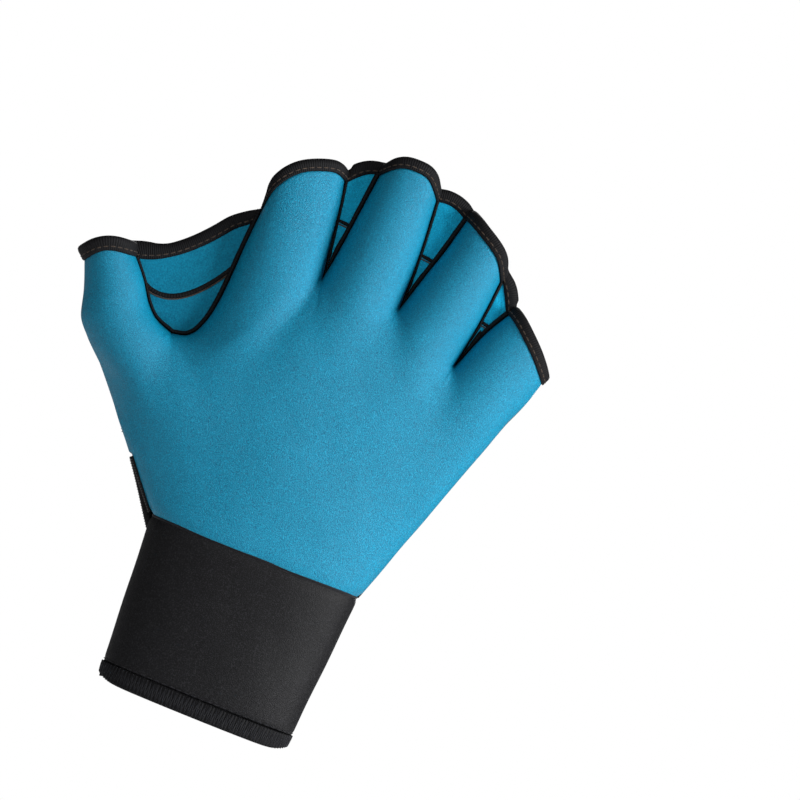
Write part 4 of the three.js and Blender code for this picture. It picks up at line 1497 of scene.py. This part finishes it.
hem_points, hem_normals = round_cuff([hem_row_height(height) for height in hem_heights], hem_lift)
hem_depth = hem_lift + WALL + HEM_LAP + np.minimum(hem_lift, 0)
hem_inside = hem_points - hem_normals * hem_depth[:, None, None]
hem_sections = np.concatenate([hem_points, hem_inside[::-1]], 0).transpose(1, 0, 2)
hem = swept_piece("cuff_hem_fold", hem_sections, seam_tape, slot="cuff_cloth", replaces=["cuff_hem"])
print("points of a hem section:", hem_sections.shape[1])

# %% [markdown]
# ### The overlock on the hem
# An overlock is a dense zigzag of thread over the edge. It could be a bumpy material, but on the real cuff the
# single threads can be seen and make the outline rough. So it is one long thread that runs to and fro between a
# low and a high row of the hem, and bows out of the cloth in between.

# %% Overlock and stitches of the hem
TRACK_SHARES = (0, 0.35, 0.65)


def zigzag(points, normals, low, high, pitch, radius, up):
    """A thread that runs to and fro between two rows of a band."""
    count = len(along_line((points[low] + points[high]) / 2, pitch / 2)[0])
    low_line, low_normals = along_line(points[low], 0.2, False, normals[low])
    high_line, _ = along_line(points[high], 0.2, False, normals[high])
    reach = np.linspace(0, 1, count)

    def pick(line):
        return np.stack([np.interp(reach, np.linspace(0, 1, len(line)), line[:, i]) for i in range(3)], -1)

    out = unit(pick(low_normals))
    corners = np.where((np.arange(count) % 2 == 0)[:, None], pick(low_line), pick(high_line))
    track, ups = [], []
    for i in range(count - 1):
        for t in TRACK_SHARES:
            bow = up * (0.6 + 0.4 * math.sin(math.pi * t))
            track.append(mix(corners[i], corners[i + 1], t) + out[i] * bow)
            ups.append(out[i])
    return tube(np.array(track), np.array(ups), radius, 5)


hem_zigzag = zigzag(hem_points, hem_normals, 1, 7, pitch=1.5, radius=0.24, up=0.2)
hem_thread = thread_piece("hem_overlock", hem_zigzag, dark_thread, "cuff_cloth")
stitch_points, stitch_normals = round_cuff([lambda side, across: HEM_HEIGHT + 0.9], [0.05])
hem_stitches = stitches(stitch_points[0], stitch_normals[0], 2.2, 0.9, 0.45)
hem_row = thread_piece("hem_stitches", hem_stitches, dark_thread, "cuff_cloth")
print("hem threads:", len(hem_thread.data.vertices))

# %% [markdown]
# ### The seam at the wrist
# Hand and cuff are sewn edge to edge, and a cord of thread fills the groove between them. On the palm's side the
# seam is crossed by short slanting threads, which look like a rope. The groove hides the cord's round section, so a
# tube of eight sides is enough.

# %% Seam between the hand and the cuff
CORD_RADIUS = 0.7
CORD_SIDES = 8
CROSSING_STEP = 0.1
ROPE_SHARE = 0.93


def wrist_seam(side, low_turn, depth):
    """The line where the cuff meets the hand on one side, sunk below the face by a depth."""
    turns = np.linspace(low_turn, math.pi, 120)
    height = rim_height(side, across_at(turns)) + 0 * turns
    normals = cuff_normal(side, turns, height)
    return along_line(cuff_point(side, turns, height) - normals * depth, 0.5, False, normals)


back_line, back_ways = wrist_seam("back", 0.0, 1.15)
palm_line, palm_ways = wrist_seam("palm", LANDING_TURN, 0.9)
seam_lines = ((back_line, back_ways), (palm_line, palm_ways))
seam_cords = [tube(line, ways, CORD_RADIUS, CORD_SIDES) for line, ways in seam_lines]
wrist_cord = thread_piece("wrist_seam_cord", seam_cords, dark_thread, "cuff_cloth")


def crossing(line, out, half, up, pitch, lean, radius):
    """Short threads that cross a seam on a slant, like the strands of a rope."""
    fine, ways = along_line(line, CROSSING_STEP, False, out)
    across = np.cross(ways, unit(np.gradient(fine, axis=0)))
    jump, lag = int(round(pitch / CROSSING_STEP)), int(round(lean / CROSSING_STEP))
    parts = []
    for i in range(0, len(fine) - lag, jump):
        a = fine[i] - across[i] * half + ways[i] * (up - 0.3)
        b = fine[i + lag] + across[i + lag] * half + ways[i + lag] * (up - 0.3)
        middle = (a + b) / 2 + ways[i] * 0.4
        parts.append(tube(np.array([a, middle, b]), np.array([ways[i]] * 3), np.array([0.6, 1, 0.6]) * radius, 5))
    return joined(parts)


roped = slice(int(len(palm_line) * ROPE_SHARE))
rope = crossing(palm_line[roped], palm_ways[roped], half=1.3, up=1.15, pitch=1.25, lean=0.9, radius=0.34)
palm_rope = thread_piece("palm_seam_rope", rope, dark_thread, "palm_cloth")
print("wrist seam threads:", len(wrist_cord.data.vertices), len(palm_rope.data.vertices))

# %% [markdown]
# ### The seams along the sides
# The back and the palm meet along the thumb's edge and along the little finger's. A sunk cord closes the small
# gap between them, as the joint of the foam does. Near the thumb the seam is covered by short crossing threads.

# %% Seams along the two sides of the hand
COVERED_FROM = CUFF_HEIGHT + 0.5 * (hand_point(ROOTS[0])[1] - CUFF_HEIGHT)


def side_seam(at_thumb):
    """The line where the back meets the palm, from the slit or the cuff up to the finger's mouth."""
    low = SLIT_SHARE + 0.01 if at_thumb else 0.01
    k = 0 if at_thumb else 4
    points, normals = [], []
    for zone, v in (("body", np.linspace(low, 0.999, 90)), ("finger", np.linspace(0, 0.995, 40))):
        turn = start_turn("palm", zone, v) if at_thumb else np.full_like(v, math.pi)
        points.append(surface("palm", zone, k, turn, v))
        normals.append(surface_normal("palm", zone, k, turn - 0.02 * (not at_thumb), v))
    points, normals = np.vstack(points), np.vstack(normals)
    return along_line(points, 0.5, False, normals)


(thumb_line, thumb_ways), (little_line, little_ways) = side_seam(True), side_seam(False)
covered = thumb_line[:, 2] > COVERED_FROM
side_threads = [
    tube(thumb_line - thumb_ways * 0.75, thumb_ways, CORD_RADIUS, CORD_SIDES),
    crossing(thumb_line[covered], thumb_ways[covered], half=1.1, up=0.35, pitch=1.25, lean=0.7, radius=0.24),
    tube(little_line - little_ways * 0.75, little_ways, CORD_RADIUS, CORD_SIDES),
]
side_seams = thread_piece("side_seam_threads", side_threads, dark_thread, "palm_cloth")
print("side seams:", len(side_seams.data.vertices))

# %% [markdown]
# ### Stitches below the tapes on the palm
# On the dark side a second, paler row of stitches runs below each mouth. It lies on the cloth's own surface, a
# fixed distance down from the mouth, so the distance is turned into a share of the finger's length first.

# %% Second row of stitches below the tapes on the palm
PALM_ROW_DROP = 2.0


def below_mouth(k, distance):
    """A line on the palm's side of a finger, a distance below its mouth."""
    turns = np.linspace(0.45 if k == 0 else 0.25, math.pi - 0.25, 60)
    top = np.ones_like(turns)
    v = 1 - distance / np.linalg.norm(slopes("palm", "finger", k, turns, top)[1], axis=-1)
    return surface("palm", "finger", k, turns, v), surface_normal("palm", "finger", k, turns, v)


palm_rows = []
for k in range(5):
    line, ways = below_mouth(k, PALM_ROW_DROP)
    palm_rows.append(stitches(line + ways * 0.12, ways, 1.9, 0.7, 0.42))
palm_stitches = thread_piece("palm_mouth_stitches", palm_rows, grey_thread, "palm_cloth")
print("palm rows:", len(palm_stitches.data.vertices))

# %% [markdown]
# ## The strap
# The strap starts at the thumb's edge of the cuff, closes it on the palm's side and ends in a half round. It lies
# on the cuff, so its points are the cuff's points, lifted by the wall. Its face is a coarse loop cloth, made as a
# grid whose rows come together towards the tip.

# %% The strap's face
STRAP_TIP = 2 * math.pi / 3
STRAP_ROUND = math.pi / 3
STRAP_MIDDLE = STRAP_BOTTOM + STRAP_HEIGHT / 2


def strap_place(turn, height):
    """A point of the strap's face and the way out of it."""
    turn, height = np.broadcast_arrays(np.asarray(turn, float), np.asarray(height, float))
    lift = (GAP + WALL + HEM_LAP) * smooth(turn, 0, LANDING_TURN * 0.8)
    normal = cuff_normal("palm", turn, height)
    return cuff_point("palm", turn, height) + normal * lift[..., None], normal


def beside_cuff(points):
    """Holds a strap's points inside the cuff's own outline at the thumb's side."""
    lowest = cuff_edge(points[..., 2], 0.0) + 0.15
    return np.stack([np.maximum(points[..., 0], lowest), points[..., 1], points[..., 2]], -1)


def strap_half(turn):
    start, end = across_at(STRAP_ROUND), across_at(STRAP_TIP)
    share = np.clip((across_at(turn) - start) / (end - start), 0, 1)
    return (STRAP_HEIGHT / 2 - STRAP_BINDING_WIDTH) * np.sqrt(1 - share**2)


straight_turns = np.linspace(0.05, STRAP_ROUND, 34)
round_shares = np.sin(np.linspace(0, math.pi / 2, 36))[1:-1]
round_turns = STRAP_ROUND + (STRAP_TIP - STRAP_ROUND) * round_shares
strap_turns = np.concatenate([straight_turns, round_turns, [STRAP_TIP - 0.004]])
strap_shares = np.linspace(-1, 1, 30)
strap_heights = STRAP_MIDDLE + strap_shares[:, None] * strap_half(strap_turns)[None]
strap_points, strap_normals = strap_place(strap_turns[None], strap_heights)
strap_points = beside_cuff(strap_points + strap_normals * softness(strap_points * 1.3)[..., None])
strap_cloth = place_piece(
    "strap_face",
    strap_points.reshape(-1, 3),
    grid_faces(grid_numbers(strap_points), True),
    [loop_face, lining_knit, foam_core],
    grid_uv(strap_points).reshape(-1, 2),
    slot="strap_cloth",
    replaces=["strap"],
)
walled(strap_cloth, WALL)
print("points of the strap:", len(strap_cloth.data.vertices))

# %% [markdown]
# ### The strap's border
# A flat border with rounded edges runs along the strap's foot, round its tip and back along its top. It is one
# more folded section swept along the edge of the face. The edge's line is smoothed a little first, because the
# border would fold over itself in the tight bend at the tip. At the thumb's side it sinks into the cuff.

# %% The strap's border
BORDER_SINK = 1.5
LINE_REACH, WAY_REACH = 4, 9


def running(values, reach):
    """The running mean of a line's values over so many steps to each side."""
    padded = np.pad(values, ((reach, reach), (0, 0)), "edge")
    return sum(padded[i : i + len(values)] for i in range(2 * reach + 1)) / (2 * reach + 1)


edge_turns = np.concatenate([strap_turns, strap_turns[::-1]])
edge_signs = np.concatenate([np.full(len(strap_turns), -1.0), np.full(len(strap_turns), 1.0)])
edge_points, edge_normals = strap_place(edge_turns, STRAP_MIDDLE + edge_signs * strap_half(edge_turns))
inside, _ = strap_place(np.minimum(edge_turns, STRAP_ROUND), np.full_like(edge_turns, STRAP_MIDDLE))
edge_line, edge_out, edge_away = along_line(edge_points, 0.6, False, edge_normals, edge_points - inside)
edge_line, edge_out, edge_away = settled(edge_line, edge_out, edge_away, closed=False)
edge_line, edge_away = running(edge_line, LINE_REACH), unit(running(edge_away, WAY_REACH))
BORDER = np.array(
    [
        (0.05, -0.2), (0.5, -0.1), (0.75, 0.8), (0.7, 2.6), (0.45, 4.2), (-0.4, 5.1), (-1.4, 5.1), (-2.2, 4.4),
        (-2.5, 2.6), (-2.5, 0.4), (-1.2, 0.3),
    ]
)
start_x = edge_line[:, 0].min()
edge_line = edge_line - edge_out * BORDER_SINK * (1 - smooth(edge_line[:, :1], start_x, start_x + 3))
border_sections = beside_cuff(folded(edge_line, edge_out, edge_away, BORDER))
strap_border = swept_piece(
    "strap_border_fold", border_sections, seam_tape, slot="edge_cloth", replaces=["strap_binding"]
)
print("sections of the border:", len(border_sections))

# %% [markdown]
# ### Slanting threads on the border
# The border is overlocked with pale threads that slant across it, one beside the next. Each is a short thread of
# three points: it starts at the face, bows over the border and ends further along the edge.

# %% Overlock of the strap
SLANT_STEP = 0.15


def slanting(line, out, away, low, high, lean, up, pitch, radius):
    """Separate threads that slant across a border, one for each pitch."""
    fine_line, fine_out, fine_away = along_line(line, SLANT_STEP, False, out, away)
    jump, lag = int(round(pitch / SLANT_STEP)), int(round(lean / SLANT_STEP))
    parts = []
    for i in range(0, len(fine_line) - lag, jump):
        a = fine_line[i] + fine_away[i] * low + fine_out[i] * up
        b = fine_line[i + lag] + fine_away[i + lag] * high + fine_out[i + lag] * (up - 0.25)
        middle = (a + b) / 2 + fine_out[i + lag // 2] * 0.18
        parts.append(tube(np.array([a, middle, b]), np.array([fine_out[i]] * 3), np.array([0.6, 1, 0.7]) * radius, 5))
    return joined(parts)


threads, thread_faces, thread_uv = slanting(
    edge_line, edge_out, edge_away, low=0.0, high=4.4, lean=1.6, up=0.72, pitch=1.1, radius=0.32
)
threads = (beside_cuff(threads), thread_faces, thread_uv)
strap_thread = thread_piece("strap_overlock", threads, grey_thread, "strap_cloth")
print("points of the strap's threads:", len(strap_thread.data.vertices))

# %% [markdown]
# ### The slit
# Beside the thumb the glove is slit from the cuff up, so that the hand gets in. Each edge of the slit has a narrow
# bound tape with its own slanting threads. The tape starts above the cuff's seam and ends below the slit's top,
# so that it doesn't run into either.

# %% Bound edges of the slit
SLIT_RUN = (0.02, SLIT_SHARE * 0.94)
SLIT_FOLD = np.array(
    [
        (0.05, -0.5), (0.5, -0.4), (0.8, 0.5), (0.75, 1.8), (0.2, 2.8), (-0.8, 3.2), (-1.8, 3.2), (-2.7, 2.8),
        (-3.2, 1.8), (-3.2, 0.4), (-2.4, 0.2), (-0.6, 0.2),
    ]
)


def build_slit_edge(side):
    """The tape along one edge of the slit, and the threads across it."""
    v = np.linspace(*SLIT_RUN, 60)
    turn = start_turn(side, "body", v)
    across, _ = slopes(side, "body", 0, turn, v)
    points = surface(side, "body", 0, turn, v)
    normals = surface_normal(side, "body", 0, turn, v)
    points, normals, aways = settled(*along_line(points, 0.5, False, normals, -across), closed=False)
    sections = folded(points, normals, aways, SLIT_FOLD)
    tape = swept_piece(
        f"{side}_slit_tape", sections, seam_tape, slot="edge_cloth", replaces=[f"{side}_slit_binding"]
    )
    sewn = slanting(points, normals, aways, low=-0.3, high=2.6, lean=0.6, up=0.7, pitch=1.0, radius=0.25)
    return tape, thread_piece(f"{side}_slit_overlock", sewn, dark_thread)


slit_pieces = [build_slit_edge(side) for side in OUTWARD]
print("slit tapes:", [tape.name for tape, sewn in slit_pieces])

# %% [markdown]
# ## What is cloth
# Each panel is a sheet that the hand inside stretches into shape. The rectangle that its cut fits in is given for
# each, and the area is that of the cut itself, measured on the grid before it gets its wall. The area is printed
# with the share of the rectangle that the cut fills. The back and the palm can't be laid flat exactly, so their
# rectangles are estimates. Three of the lower webs are 9.4 to 10 millimetres wide, and 10 is the least side that a
# sheet may state.

# %% Sheets, their areas and rectangles
# Sizes in metres
LEAST_SIDE = 0.01
BACK_CUT = (0.24, 0.17)
PALM_CUT = (0.24, 0.175)


def cloth_area(obj):
    """The area of a piece's grid before it gets its wall, in square metres."""
    return sum(face.area for face in obj.data.polygons)


def longest_lengths(grid):
    """The longest runs of cloth across a grid and along it, in metres."""
    across = np.linalg.norm(np.diff(grid, axis=1), axis=-1).sum(1).max()
    along = np.linalg.norm(np.diff(grid, axis=0), axis=-1).sum(0).max()
    return across / 1000, along / 1000


def declare(obj, width, length, rests_on, with_pieces=()):
    """Prints a piece's area, and the share of its rectangle that the cut fills."""
    area = cloth_area(obj)
    share = area / (width * length)
    print(f"{obj.name}: {area * 1e4:.1f} square centimetres, {share:.2f} of its rectangle")
    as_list(with_pieces)


mouth_parts = [piece for pair in mouth_pieces for piece in pair]
declare(back_cloth, *BACK_CUT, ["cuff_band_cloth"], [*mouth_parts, *edging_pieces, *slit_pieces[0]])
declare(palm_cloth, *PALM_CUT, ["cuff_band_cloth"], [*slit_pieces[1]])
for (lower, upper), seam_parts, tape_parts in zip(web_pieces, seam_pieces, web_tapes):
    for obj, extra in ((lower, seam_parts), (upper, tape_parts)):
        width, height = (np.ptp([v.co[i] for v in obj.data.vertices]) for i in (0, 2))
        declare(obj, max(width, LEAST_SIDE), height, ["back_cloth", "palm_cloth"], extra)
declare(cuff_cloth, *longest_lengths(cuff_points), ["cuff_hem_fold"], [hem, hem_thread, hem_row])
declare(strap_cloth, *longest_lengths(strap_points), ["cuff_band_cloth"], [strap_border, strap_thread])
